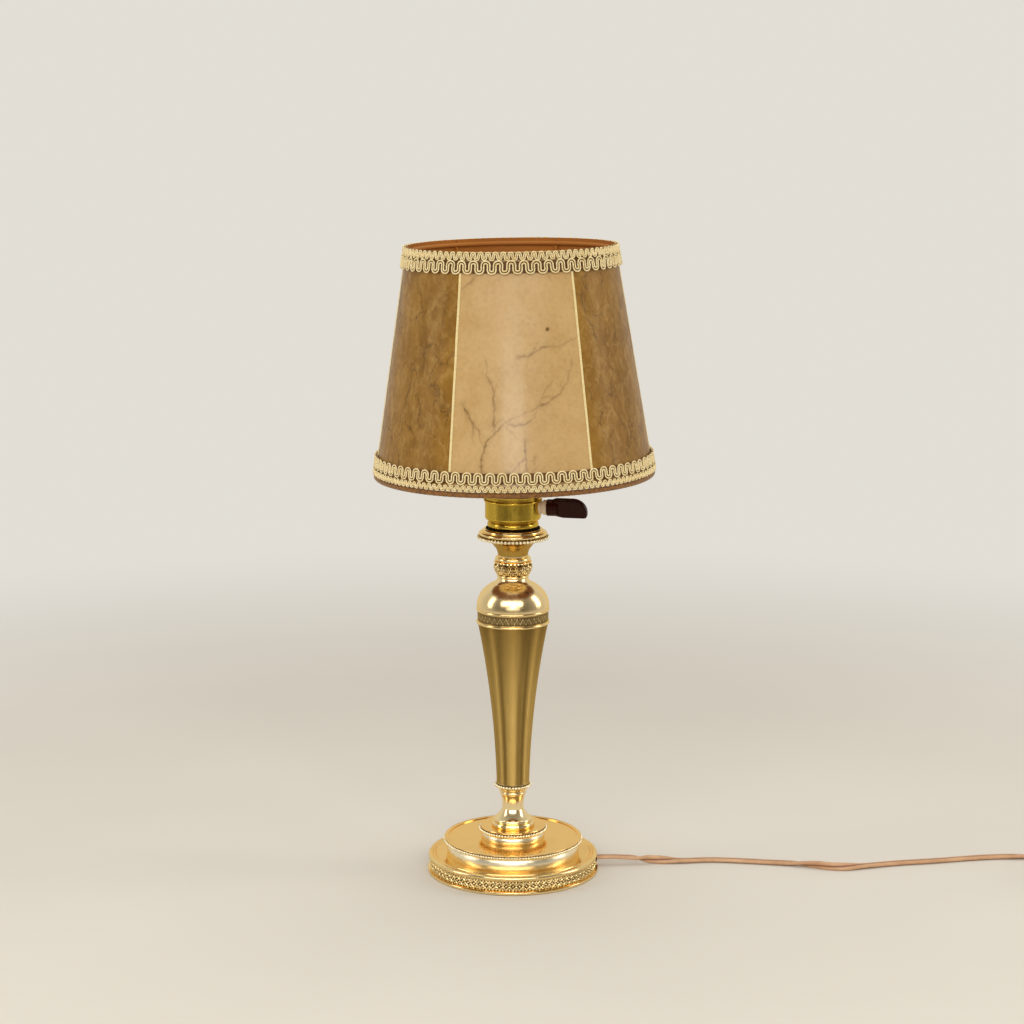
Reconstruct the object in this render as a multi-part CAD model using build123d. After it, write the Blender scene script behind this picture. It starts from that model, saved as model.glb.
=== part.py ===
from build123d import *
import math
import os

# Brass candlestick accent lamp with a turn-key socket and a clip-on parchment shade.
# Millimetres, +Z up. The origin is the centre of the felt face that the lamp stands on.
# The front is -Y. The switch key and the cord are on the +X side.

# Fits shared by the whole lamp
cut_overrun = 2.0
slip_gap = 0.15
turn_gap = 0.06
rest_gap = 0.3
skin_gap = 0.1

# Felt pad under the foot
felt_radius = 49.5
felt_thickness = 1.3
felt_proud = 0.4

# Foot: spun brass with a bottom flange, an embossed band, a rolled rim and a grooved plate
foot_flange_radius = 52.9
foot_flange_height = 1.5
foot_band_radius = 51.4
foot_band_height = 6.9
foot_rim_height = 2.6
foot_rim_bulge_share = 0.45
foot_groove_radius = 49.0
foot_groove_width = 2.0
foot_groove_depth = 0.75
foot_wall = 1.2
foot_boss_radius = 27.0
foot_boss_top_radius = 15.0
foot_boss_rise = 7.0

# Cast weight inside the foot
weight_side_gap = 0.4
weight_pocket_radius = 21.0

# Middle tier
middle_drum_radius = 40.6
middle_drum_taper = 1.4
middle_drum_height = 7.8
middle_drum_bulge_share = 0.15
middle_rim_radius = 42.2
middle_rim_height = 2.3
middle_rim_bulge_share = 0.5
middle_ridge_inset = 2.0
middle_ridge_drop = 0.5
middle_wall = 1.2

# Top tier
top_drum_radius = 19.3
top_drum_taper = 1.2
top_drum_height = 4.5
top_drum_bulge_share = 0.18
top_rim_radius = 20.3
top_rim_height = 2.2
top_rim_bulge_share = 0.5
top_disc_radius = 20.0
top_disc_height = 0.9
top_wall = 1.2

# Spool at the bottom of the stem
spool_foot_radius = 13.0
spool_foot_height = 2.4
spool_step_height = 0.4
spool_ring_radius = 11.8
spool_ring_height = 1.9
spool_cone_radius = 11.0
spool_waist_radius = 6.6
spool_waist_rise = 5.7
spool_neck_radius = 7.8
spool_neck_rise = 9.3
spool_bead_radius = 7.9
spool_bead_height = 1.5
spool_top_radius = 9.7
spool_top_rise = 2.0
spool_bulge_share = 0.16
spool_hollow_share = 0.06

# Beaded collar under the column
collar_radius = 10.8
collar_height = 3.4
collar_bead_height = 2.2
collar_bulge_share = 0.45
collar_spigot_height = 4.0

# Tapered column
column_bottom_radius = 10.1
column_top_radius = 21.6
column_height = 101.2
column_hollow_share = 0.022
column_wall = 0.9

# Engraved band over the column
band_radius = 21.9
band_height = 9.6
band_bead_height = 1.7
band_bulge_share = 0.38
band_wall = 1.5

# Vase shoulder
shoulder_radius = 22.2
shoulder_turn_radius = 18.0
shoulder_turn_rise = 11.5
shoulder_crown_radius = 12.9
shoulder_crown_rise = 3.7
shoulder_neck_radius = 9.2
shoulder_neck_rise = 3.6
shoulder_side_bulge_share = 0.11
shoulder_crown_bulge_share = 0.04
shoulder_neck_hollow_share = 0.12
shoulder_wall = 1.3

# Leaf knop
knop_flange_radius = 9.3
knop_flange_height = 1.9
knop_flange_bulge_share = 0.3
knop_ball_radius = 11.0
knop_ball_taper = 1.4
knop_ball_height = 8.4
knop_ball_bulge_share = 0.15
knop_ring_radius = 10.2
knop_ring_height = 2.7
knop_ring_bulge_share = 0.3

# Candle cup with its beaded drip pan
cup_neck_radius = 9.3
cup_neck_height = 1.2
cup_flare_radius = 12.0
cup_flare_rise = 5.8
cup_pan_radius = 14.8
cup_pan_rise = 2.6
cup_edge_radius = 20.6
cup_edge_rise = 1.4
cup_bead_radius = 21.1
cup_bead_height = 2.4
cup_bead_bulge_share = 0.5
cup_lower_lip_radius = 20.3
cup_lower_lip_height = 2.2
cup_upper_lip_radius = 18.6
cup_upper_lip_height = 2.0
cup_lip_bulge_share = 0.3
cup_bulge_share = 0.1
cup_mouth_radius = 16.7
cup_mouth_depth = 2.0

# Hollow threaded rod with its nut and washer
rod_radius = 4.8
rod_bore_radius = 3.4
rod_tail = 0.5
nut_flat_width = 16.0
nut_height = 4.5
washer_radius = 10.5
washer_thickness = 1.2

# Socket gasket and cap
gasket_thickness = 2.5
socket_cap_height = 8.8
socket_cap_ring_height = 4.4
socket_cap_ring_bulge_share = 0.22
socket_cap_wall = 0.8
socket_cap_floor = 1.2
socket_hub_radius = 8.0
socket_hub_height = 7.4

# Socket shell with two beads, and its paper liner
shell_radius = 17.05
shell_rise = 5.0
shell_height = 39.6
shell_wall = 0.5
shell_curl_inset = 1.5
shell_curl_height = 2.0
shell_curl_bulge_share = 0.2
shell_bead_rise = 3.2
shell_bead_height = 1.9
shell_bead_bulge_share = 0.48
shell_bead_gap = 1.2
shell_lip_height = 1.4
liner_thickness = 0.7
liner_height = 33.0

# Insulating socket body, screw shell, centre contact and terminal screws
body_height = 15.0
screw_shell_wall = 0.45
screw_shell_height = 18.0
screw_flange_inset = 0.5
screw_flange_width = 1.05
screw_flange_height = 0.8
contact_radius = 3.6
contact_height = 1.0
terminal_head_radius = 2.7
terminal_head_height = 2.0
terminal_shank_radius = 1.4
terminal_shank_length = 4.0
terminal_rise = 3.6

# Switch key: rotor, shaft, cream bushing and paddle
key_angle = -12.0
key_roll = 15.0
key_rise = 4.1
bushing_radius = 4.6
bushing_length = 5.7
bushing_groove_radius = 3.7
bushing_groove_width = 1.4
shaft_radius = 1.6
rotor_radius = 4.6
rotor_length = 5.0
rotor_reach = 8.0
paddle_neck_radius = 5.1
paddle_neck_length = 5.4
paddle_length = 19.0
paddle_slope_length = 4.2
paddle_half_height = 5.9
paddle_thickness = 4.6
paddle_corner_radius = 8.5
paddle_lower_corner_radius = 2.0
paddle_edge_radius = 1.0
paddle_bore_depth = 3.6

# Bulb, a small pear shape on a screw cap
bulb_radius = 24.0
bulb_glass_wall = 0.8
bulb_length = 89.0
bulb_tip_radius = 3.4
bulb_tip_height = 1.3
insulator_bottom_share = 0.42
insulator_inset = 2.0
insulator_height = 2.6
cap_thread_play = 0.35
cap_wall = 0.5
cap_thread_pitch = 3.629
cap_thread_turns = 4
cap_thread_bulge_share = 0.18
cap_skirt_height = 5.6
glass_neck_overlap = 8.0
glass_neck_rise = 2.0
glass_turn_angle = -20.0
glass_neck_bulge_share = 0.07
stem_radius = 2.6
stem_flare_height = 8.0
stem_height = 26.0
filament_wire_radius = 0.4
filament_foot_offset = 1.5
filament_spread = 9.0
filament_rise = 14.0
filament_droop = 4.0

# Bulb clip: two spring loops round the upper half of the bulb and a barrel over them
clip_wire_radius = 0.9
clip_loop_angle = 38.0
clip_loop_elevation = 40.0
clip_barrel_radius = 2.3
clip_barrel_length = 16.0
clip_barrel_rise = 4.8

# Shade frame
shade_bottom_radius = 84.4
shade_top_radius = 62.4
shade_drop = 86.5
shade_height = 139.6
shade_lean = -0.9
shade_turn = 3.0
shade_panel_count = 6
panel_thickness = 0.7
panel_seam_gap = 0.4
top_ring_wire_radius = 1.2
top_ring_drop = 3.2
bottom_ring_wire_radius = 1.65
rib_wire_radius = 1.0
arm_wire_radius = 1.2
arm_flat_length = 25.0
arm_bend_radius = 6.0

# Seam tapes and trims, as bands along the slope of the shade
tape_width = 1.5
tape_thickness = 0.4
trim_thickness = 2.2
top_braid_height = 4.9
top_gimp_height = 6.5
bottom_gimp_height = 6.4
bottom_braid_height = 4.1
trim_gap = 0.9

# Cord, its bushing in the foot, and the route of the stretch that lies free
cord_width = 5.2
cord_exit_angle = 6.5
cord_bushing_flange_radius = 3.4
cord_bushing_flange_thickness = 1.0
cord_bushing_wall = 0.35
cord_stub = 14.0
cord_route = [
    (86.0, 8.4, 3.0),
    (106.0, 9.6, 2.6),
    (125.0, 12.9, 2.6),
    (146.0, 10.0, 2.6),
    (166.0, 6.6, 2.6),
    (184.0, 2.4, 2.6),
    (203.0, -6.6, 2.6),
    (222.0, 0.2, 2.6),
    (242.0, 6.2, 2.6),
    (264.0, 9.6, 2.6),
    (286.0, 15.0, 2.6),
    (308.0, 19.0, 2.6),
    (331.0, 17.0, 2.7),
]
cord_corner_share = 0.45

# Coil of the rest of the cord: spirals in on the lower layer and out again on the upper one
coil_centre = (376.0, -24.0)
coil_outer_radius = 41.5
coil_turn_step = 5.75
coil_layer_step = 5.75
coil_turns = 7.25
coil_spans = 30
coil_climb_turns = 0.5
coil_lead_in = 21.0
coil_tail = 36.0
coil_least_gap = 0.4
coil_probe_step = 2.0

# Tie round the coil
tie_width = 6.0
tie_thickness = 0.7
tie_gap = 0.2
tie_corner_radius = 2.5

# Two-blade plug
plug_length = 28.0
plug_width = 22.0
plug_heel_width = 13.0
plug_edge_radius = 2.0
blade_length = 16.0
blade_width = 6.3
blade_thickness = 1.5
blade_spacing = 12.7


# Heights of the stack, from the felt up
foot_level = felt_proud
band_level = foot_level + foot_flange_height
rim_level = band_level + foot_band_height
plate_level = rim_level + foot_rim_height
boss_level = plate_level + foot_boss_rise
middle_rim_level = plate_level + middle_drum_height
middle_level = middle_rim_level + middle_rim_height
middle_plate_level = middle_level - middle_ridge_drop
top_rim_level = middle_plate_level + top_drum_height
top_level = top_rim_level + top_rim_height + top_disc_height
spool_ring_level = top_level + spool_foot_height + spool_step_height
spool_cone_level = spool_ring_level + spool_ring_height + spool_step_height
spool_waist_level = spool_cone_level + spool_waist_rise
spool_neck_level = spool_waist_level + spool_neck_rise
spool_bead_level = spool_neck_level + spool_step_height
collar_level = spool_bead_level + spool_bead_height + spool_step_height + spool_top_rise
column_level = collar_level + collar_height
column_band_level = column_level + column_height
shoulder_level = column_band_level + band_height
shoulder_turn_level = shoulder_level + shoulder_turn_rise
shoulder_crown_level = shoulder_turn_level + shoulder_crown_rise
knop_level = shoulder_crown_level + shoulder_neck_rise
knop_ball_level = knop_level + knop_flange_height
knop_ring_level = knop_ball_level + knop_ball_height
cup_level = knop_ring_level + knop_ring_height
cup_flare_level = cup_level + cup_neck_height + cup_flare_rise
cup_edge_level = cup_flare_level + cup_pan_rise + cup_edge_rise
cup_lip_level = cup_edge_level + cup_bead_height
cup_top_level = cup_lip_level + cup_lower_lip_height + cup_upper_lip_height
cup_mouth_level = cup_top_level - cup_mouth_depth
socket_cap_level = cup_mouth_level + gasket_thickness
body_level = socket_cap_level + socket_cap_height
shell_level = socket_cap_level + shell_rise
shell_top_level = shell_level + shell_height
key_level = body_level + key_rise
shell_bead_level = key_level + shell_bead_rise
contact_level = body_level + body_height
nut_level = boss_level - foot_wall - washer_thickness - nut_height
rod_level = nut_level - rod_tail
rod_top_level = socket_cap_level + socket_hub_height

# Bulb, clip and shade levels
bulb_level = contact_level + contact_height + turn_gap
insulator_level = bulb_level + bulb_tip_height
cap_level = insulator_level + insulator_height
cap_top_level = cap_level + cap_thread_pitch * cap_thread_turns + cap_skirt_height
bulb_centre = bulb_level + bulb_length - bulb_radius
clip_sphere = bulb_radius + rest_gap + clip_wire_radius
pivot_level = bulb_centre + bulb_radius + clip_barrel_rise
shade_level = pivot_level - shade_drop
shade_top_level = shade_level + shade_height
panel_level = shade_level + 2 * bottom_ring_wire_radius + skin_gap

# Radii that follow from the fits
rod_hole = rod_radius + slip_gap
liner_outer = shell_radius - shell_wall - slip_gap
liner_inner = liner_outer - liner_thickness
socket_cap_radius = shell_radius - shell_curl_inset - shell_wall - rest_gap
body_radius = liner_inner - rest_gap
screw_flange_radius = body_radius - screw_flange_inset
screw_outer = screw_flange_radius - screw_flange_width
screw_shell_bore = screw_outer - screw_shell_wall
cap_root_radius = screw_shell_bore - cap_thread_play - cap_thread_bulge_share * cap_thread_pitch
insulator_top_radius = cap_root_radius - insulator_inset
insulator_bottom_radius = insulator_bottom_share * cap_root_radius
glass_neck_radius = cap_root_radius - cap_wall - rest_gap
stem_flare_radius = glass_neck_radius - bulb_glass_wall - rest_gap
cord_radius = cord_width / 2
foot_inner_radius = foot_band_radius - foot_wall
exit_level = band_level + foot_band_height / 2
cord_bushing_bore = cord_radius + slip_gap
cord_bushing_radius = cord_bushing_bore + cord_bushing_wall
exit_seat = foot_band_radius + skin_gap
exit_reach = exit_seat + cord_bushing_flange_thickness
coil_level = tie_thickness + 2 * tie_gap + cord_radius
coil_top_level = coil_level + coil_layer_step

parts = {}


def arc_share(angle):
    """Sagitta of an arc of this many degrees, as a share of its chord."""
    return math.tan(math.radians(angle) / 4) / 2


def span(start, end, bulge_share):
    """A line, or an arc that bulges to the right of travel by a share of its chord."""
    if bulge_share == 0:
        return Edge.make_line(start, end)
    run = end - start
    side = Vector(run.Z, 0, -run.X)
    return Edge.make_three_point_arc(start, (start + end) / 2 + side * bulge_share, end)


def outline(*stations):
    """A closed face in the XZ plane through (radius, height, bulge share of the span that ends there)."""
    points = [Vector(station[0], 0, station[1]) for station in stations]
    edges = []
    for index, start in enumerate(points):
        after = (index + 1) % len(points)
        bulge_share = stations[after][2] if len(stations[after]) > 2 else 0
        edges.append(span(start, points[after], bulge_share))
    return Face(Wire(edges))


def turned(*stations):
    """A solid of revolution about Z."""
    return revolve(outline(*stations), Axis.Z)


def rod_between(start, end, radius):
    """A round bar from one point to another."""
    axis = Vector(end) - Vector(start)
    return extrude(Plane(Vector(start), z_dir=axis) * Circle(radius), axis.length)


def swept_tube(path, radius):
    """A round tube along a path of lines and tangent arcs."""
    return sweep((path ^ 0) * Circle(radius), path=path)


def polar(radius, angle, level):
    """A point at a radius and an angle from +X."""
    return Vector(radius * math.cos(math.radians(angle)), radius * math.sin(math.radians(angle)), level)


def make_base():
    """Felt, weight, foot and the two tiers on it."""
    parts["felt_pad"] = turned((0, 0), (felt_radius, 0), (felt_radius, felt_thickness), (0, felt_thickness))

    foot = turned(
        (foot_inner_radius, foot_level),
        (foot_flange_radius, foot_level),
        (foot_flange_radius, band_level),
        (foot_band_radius, band_level),
        (foot_band_radius, rim_level),
        (foot_band_radius, plate_level, foot_rim_bulge_share),
        (foot_groove_radius + foot_groove_width / 2, plate_level),
        (foot_groove_radius - foot_groove_width / 2, plate_level, -foot_groove_depth / foot_groove_width),
        (foot_boss_radius, plate_level),
        (foot_boss_top_radius, boss_level),
        (rod_hole, boss_level),
        (rod_hole, boss_level - foot_wall),
        (foot_boss_top_radius, boss_level - foot_wall),
        (foot_boss_radius, plate_level - foot_wall),
        (foot_inner_radius, plate_level - foot_wall),
    )
    exit_turn = Rot(0, 0, cord_exit_angle)
    exit_hole = exit_turn * rod_between(
        (foot_inner_radius - cut_overrun, 0, exit_level),
        (foot_band_radius + cut_overrun, 0, exit_level),
        cord_bushing_radius + skin_gap,
    )
    parts["base_foot"] = foot - exit_hole

    weight_radius = foot_inner_radius - weight_side_gap
    weight = turned(
        (weight_pocket_radius, felt_thickness),
        (weight_radius, felt_thickness),
        (weight_radius, plate_level - foot_wall),
        (weight_pocket_radius, plate_level - foot_wall),
    )
    slot_height = exit_level + cord_bushing_radius + rest_gap - felt_thickness
    slot = Box(
        weight_radius + cut_overrun,
        2 * (cord_bushing_radius + rest_gap),
        slot_height + cut_overrun,
        align=(Align.MIN, Align.CENTER, Align.MAX),
    )
    slot = exit_turn * Pos(0, 0, felt_thickness + slot_height) * slot
    parts["base_weight"] = weight - slot

    parts["base_middle_tier"] = turned(
        (middle_drum_radius - middle_wall, plate_level),
        (middle_drum_radius, plate_level),
        (middle_drum_radius - middle_drum_taper, middle_rim_level, middle_drum_bulge_share),
        (middle_rim_radius, middle_rim_level),
        (middle_rim_radius, middle_level, middle_rim_bulge_share),
        (middle_rim_radius - middle_ridge_inset, middle_level),
        (middle_rim_radius - middle_ridge_inset, middle_plate_level),
        (rod_hole, middle_plate_level),
        (rod_hole, middle_plate_level - middle_wall),
        (middle_drum_radius - middle_drum_taper - middle_wall, middle_plate_level - middle_wall),
    )

    parts["base_top_tier"] = turned(
        (top_drum_radius - top_wall, middle_plate_level),
        (top_drum_radius, middle_plate_level),
        (top_drum_radius - top_drum_taper, top_rim_level, top_drum_bulge_share),
        (top_rim_radius, top_rim_level),
        (top_rim_radius, top_rim_level + top_rim_height, top_rim_bulge_share),
        (top_disc_radius, top_rim_level + top_rim_height),
        (top_disc_radius, top_level),
        (rod_hole, top_level),
        (rod_hole, top_level - top_wall),
        (top_drum_radius - top_drum_taper - top_wall, top_level - top_wall),
    )

    bushing = turned(
        (cord_bushing_bore, 0),
        (cord_bushing_radius, 0),
        (cord_bushing_radius, exit_seat - foot_inner_radius),
        (cord_bushing_flange_radius, exit_seat - foot_inner_radius),
        (cord_bushing_radius, exit_reach - foot_inner_radius),
        (cord_bushing_bore, exit_reach - foot_inner_radius),
    )
    parts["cord_bushing"] = exit_turn * Pos(foot_inner_radius, 0, exit_level) * Rot(0, 90, 0) * bushing


def make_stem():
    """Spool, collar, column, band, shoulder, knop and candle cup, all bored for the rod."""
    parts["stem_spool"] = turned(
        (rod_hole, top_level),
        (spool_foot_radius, top_level),
        (spool_foot_radius, top_level + spool_foot_height, spool_bulge_share),
        (spool_ring_radius, spool_ring_level),
        (spool_ring_radius, spool_ring_level + spool_ring_height, spool_bulge_share),
        (spool_cone_radius, spool_cone_level),
        (spool_waist_radius, spool_waist_level, -spool_hollow_share),
        (spool_neck_radius, spool_neck_level, -spool_hollow_share),
        (spool_bead_radius, spool_bead_level),
        (spool_bead_radius, spool_bead_level + spool_bead_height, 2 * spool_bulge_share),
        (spool_neck_radius, spool_bead_level + spool_bead_height + spool_step_height),
        (spool_top_radius, collar_level, -spool_bulge_share),
        (rod_hole, collar_level),
    )
    collar_bead_level = collar_level + (collar_height - collar_bead_height) / 2
    spigot_radius = column_bottom_radius - column_wall - slip_gap
    parts["column_collar"] = turned(
        (rod_hole, collar_level),
        (column_bottom_radius, collar_level),
        (collar_radius, collar_bead_level),
        (collar_radius, collar_bead_level + collar_bead_height, collar_bulge_share),
        (column_bottom_radius, column_level),
        (spigot_radius, column_level),
        (spigot_radius, column_level + collar_spigot_height),
        (rod_hole, column_level + collar_spigot_height),
    )
    parts["column"] = turned(
        (column_bottom_radius - column_wall, column_level, column_hollow_share),
        (column_bottom_radius, column_level),
        (column_top_radius, column_band_level, -column_hollow_share),
        (column_top_radius - column_wall, column_band_level),
    )
    band_inner = band_radius - band_wall
    parts["column_band"] = turned(
        (band_inner, column_band_level),
        (band_radius, column_band_level),
        (band_radius, column_band_level + band_bead_height, band_bulge_share),
        (band_radius, shoulder_level - band_bead_height),
        (band_radius, shoulder_level, band_bulge_share),
        (band_inner, shoulder_level),
    )
    parts["vase_shoulder"] = turned(
        (shoulder_radius - shoulder_wall, shoulder_level, -shoulder_side_bulge_share),
        (shoulder_radius, shoulder_level),
        (shoulder_turn_radius, shoulder_turn_level, shoulder_side_bulge_share),
        (shoulder_crown_radius, shoulder_crown_level, shoulder_crown_bulge_share),
        (shoulder_neck_radius, knop_level, -shoulder_neck_hollow_share),
        (rod_hole, knop_level),
        (rod_hole, shoulder_crown_level - shoulder_wall),
        (shoulder_crown_radius, shoulder_crown_level - shoulder_wall),
        (shoulder_turn_radius - shoulder_wall, shoulder_turn_level),
    )
    parts["leaf_knop"] = turned(
        (rod_hole, knop_level),
        (knop_flange_radius, knop_level),
        (knop_flange_radius, knop_ball_level, knop_flange_bulge_share),
        (knop_ball_radius - knop_ball_taper, knop_ball_level),
        (knop_ball_radius, knop_ring_level, knop_ball_bulge_share),
        (knop_ring_radius, knop_ring_level),
        (knop_ring_radius, cup_level, knop_ring_bulge_share),
        (rod_hole, cup_level),
    )
    parts["candle_cup"] = turned(
        (rod_hole, cup_level),
        (cup_neck_radius, cup_level),
        (cup_neck_radius, cup_level + cup_neck_height),
        (cup_flare_radius, cup_flare_level, -cup_bulge_share),
        (cup_pan_radius, cup_flare_level + cup_pan_rise, -cup_bulge_share),
        (cup_edge_radius, cup_edge_level, -cup_bulge_share / 2),
        (cup_bead_radius, cup_edge_level),
        (cup_bead_radius, cup_lip_level, cup_bead_bulge_share),
        (cup_lower_lip_radius, cup_lip_level),
        (cup_lower_lip_radius, cup_lip_level + cup_lower_lip_height, cup_lip_bulge_share),
        (cup_upper_lip_radius, cup_lip_level + cup_lower_lip_height),
        (cup_mouth_radius, cup_top_level, cup_lip_bulge_share),
        (cup_mouth_radius, cup_mouth_level),
        (rod_hole, cup_mouth_level),
    )


def make_rod():
    """The hollow rod that clamps the stack, its washer and its nut under the foot."""
    parts["threaded_rod"] = turned(
        (rod_bore_radius, rod_level),
        (rod_radius, rod_level),
        (rod_radius, rod_top_level),
        (rod_bore_radius, rod_top_level),
    )
    parts["rod_washer"] = turned(
        (rod_hole, nut_level + nut_height),
        (washer_radius, nut_level + nut_height),
        (washer_radius, boss_level - foot_wall),
        (rod_hole, boss_level - foot_wall),
    )
    hexagon = RegularPolygon(nut_flat_width / 2, 6, major_radius=False) - Circle(rod_hole)
    parts["rod_nut"] = Pos(0, 0, nut_level) * extrude(hexagon, nut_height)


def make_socket():
    """Gasket, cap, shell, liner, insulating body and the contacts in it."""
    key_turn = Rot(0, 0, key_angle)
    parts["socket_gasket"] = turned(
        (rod_hole, cup_mouth_level),
        (cup_mouth_radius - slip_gap, cup_mouth_level),
        (cup_mouth_radius - slip_gap, socket_cap_level),
        (rod_hole, socket_cap_level),
    )
    parts["socket_cap"] = turned(
        (rod_hole, socket_cap_level),
        (socket_cap_radius, socket_cap_level),
        (socket_cap_radius, socket_cap_level + socket_cap_ring_height, socket_cap_ring_bulge_share),
        (socket_cap_radius, body_level),
        (socket_cap_radius - socket_cap_wall, body_level),
        (socket_cap_radius - socket_cap_wall, socket_cap_level + socket_cap_floor),
        (socket_hub_radius, socket_cap_level + socket_cap_floor),
        (socket_hub_radius, rod_top_level),
        (rod_hole, rod_top_level),
    )
    bead_levels = [shell_bead_level, shell_bead_level + shell_bead_height + shell_bead_gap]
    beads = []
    for level in bead_levels:
        beads.append((shell_radius, level))
        beads.append((shell_radius, level + shell_bead_height, shell_bead_bulge_share))
    shell = turned(
        (shell_radius - shell_curl_inset - shell_wall, shell_level),
        (shell_radius - shell_curl_inset, shell_level),
        (shell_radius, shell_level + shell_curl_height, shell_curl_bulge_share),
        *beads,
        (shell_radius, shell_top_level - shell_lip_height),
        (shell_radius, shell_top_level, shell_bead_bulge_share),
        (shell_radius - shell_wall, shell_top_level),
        (shell_radius - shell_wall, shell_level + shell_curl_height),
    )
    key_hole = key_turn * rod_between(
        (0, 0, key_level), (shell_radius + cut_overrun, 0, key_level), bushing_radius + slip_gap
    )
    parts["socket_shell"] = shell - key_hole

    liner_level = shell_level + shell_curl_height + rest_gap
    liner = turned(
        (liner_inner, liner_level),
        (liner_outer, liner_level),
        (liner_outer, liner_level + liner_height),
        (liner_inner, liner_level + liner_height),
    )
    parts["socket_liner"] = liner - key_hole

    body = turned(
        (0, body_level), (body_radius, body_level), (body_radius, contact_level), (0, contact_level)
    )
    rotor_start = rotor_reach - rotor_length
    shaft_bore = rod_between(
        (rotor_start, 0, key_level), (body_radius + cut_overrun, 0, key_level), shaft_radius + turn_gap
    )
    rotor_room = rod_between(
        (rotor_start - rest_gap, 0, key_level),
        (rotor_reach + rest_gap, 0, key_level),
        rotor_radius + rest_gap,
    )
    body -= key_turn * shaft_bore
    body -= key_turn * rotor_room

    screws = []
    terminal_level = contact_level - terminal_rise
    head_seat = math.sqrt(body_radius ** 2 - (terminal_head_radius + rest_gap) ** 2) - terminal_head_height
    for side in (1, -1):
        head = rod_between(
            (0, side * head_seat, terminal_level),
            (0, side * (head_seat + terminal_head_height), terminal_level),
            terminal_head_radius,
        )
        shank = rod_between(
            (0, side * (head_seat - terminal_shank_length), terminal_level),
            (0, side * head_seat, terminal_level),
            terminal_shank_radius,
        )
        pocket = rod_between(
            (0, side * head_seat, terminal_level),
            (0, side * (body_radius + cut_overrun), terminal_level),
            terminal_head_radius + rest_gap,
        )
        hole = rod_between(
            (0, side * (head_seat - terminal_shank_length - slip_gap), terminal_level),
            (0, side * head_seat, terminal_level),
            terminal_shank_radius + slip_gap,
        )
        body -= key_turn * (pocket + hole)
        screws.append(key_turn * (head + shank))
    parts["socket_body"] = body
    parts["terminal_screws"] = Compound(children=[screw.solid() for screw in screws])

    parts["screw_shell"] = turned(
        (screw_shell_bore, contact_level),
        (screw_flange_radius, contact_level),
        (screw_flange_radius, contact_level + screw_flange_height),
        (screw_outer, contact_level + screw_flange_height),
        (screw_outer, contact_level + screw_shell_height),
        (screw_shell_bore, contact_level + screw_shell_height),
    )
    parts["center_contact"] = turned(
        (0, contact_level),
        (contact_radius, contact_level),
        (contact_radius, contact_level + contact_height),
        (0, contact_level + contact_height),
    )


def make_key():
    """Cream bushing in the shell, and the shaft, rotor and paddle that turn in it."""
    place = Rot(0, 0, key_angle) * Pos(0, 0, key_level) * Rot(0, 90, 0)
    bushing_start = body_radius + skin_gap
    bushing_end = bushing_start + bushing_length
    groove_start = bushing_start + (bushing_length - bushing_groove_width) / 2
    parts["key_bushing"] = place * turned(
        (shaft_radius + turn_gap, bushing_start),
        (bushing_radius, bushing_start),
        (bushing_radius, groove_start),
        (bushing_groove_radius, groove_start),
        (bushing_groove_radius, groove_start + bushing_groove_width),
        (bushing_radius, groove_start + bushing_groove_width),
        (bushing_radius, bushing_end),
        (shaft_radius + turn_gap, bushing_end),
    )
    rotor_start = rotor_reach - rotor_length
    parts["switch_rotor"] = place * turned(
        (shaft_radius, rotor_start),
        (rotor_radius, rotor_start),
        (rotor_radius, rotor_reach),
        (shaft_radius, rotor_reach),
    )
    neck_start = bushing_end + rest_gap
    shaft_end = neck_start + paddle_bore_depth
    parts["key_shaft"] = place * turned(
        (0, rotor_start), (shaft_radius, rotor_start), (shaft_radius, shaft_end), (0, shaft_end)
    )
    blade_start = neck_start + paddle_neck_length
    blade_end = blade_start + paddle_length
    neck = rod_between((neck_start, 0, 0), (blade_start + paddle_edge_radius, 0, 0), paddle_neck_radius)
    upper = paddle_half_height
    blade_outline = Polyline(
        (neck_start + paddle_edge_radius, -paddle_neck_radius + paddle_edge_radius),
        (blade_start + paddle_slope_length, -upper),
        (blade_end, -upper),
        (blade_end, upper),
        (blade_start, upper),
        (neck_start + paddle_edge_radius, paddle_neck_radius - paddle_edge_radius),
        close=True,
    )
    blade_face = make_face(blade_outline)
    outer = blade_face.vertices().sort_by(Axis.X)[-2:].sort_by(Axis.Y)
    blade_face = fillet(outer[1], paddle_corner_radius)
    outer = blade_face.vertices().filter_by(lambda v: abs(v.X - blade_end) < skin_gap).sort_by(Axis.Y)
    blade_face = fillet(outer[0], paddle_lower_corner_radius)
    blade = extrude(Plane.XZ * blade_face, paddle_thickness / 2, both=True)
    blade = fillet(blade.faces().sort_by(Axis.Y)[0].edges(), paddle_edge_radius)
    blade = fillet(blade.faces().sort_by(Axis.Y)[-1].edges(), paddle_edge_radius)
    bore = rod_between((neck_start - cut_overrun, 0, 0), (shaft_end, 0, 0), shaft_radius)
    paddle = neck + blade - bore
    parts["key_paddle"] = Rot(0, 0, key_angle) * Pos(0, 0, key_level) * Rot(key_roll, 0, 0) * paddle


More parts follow.
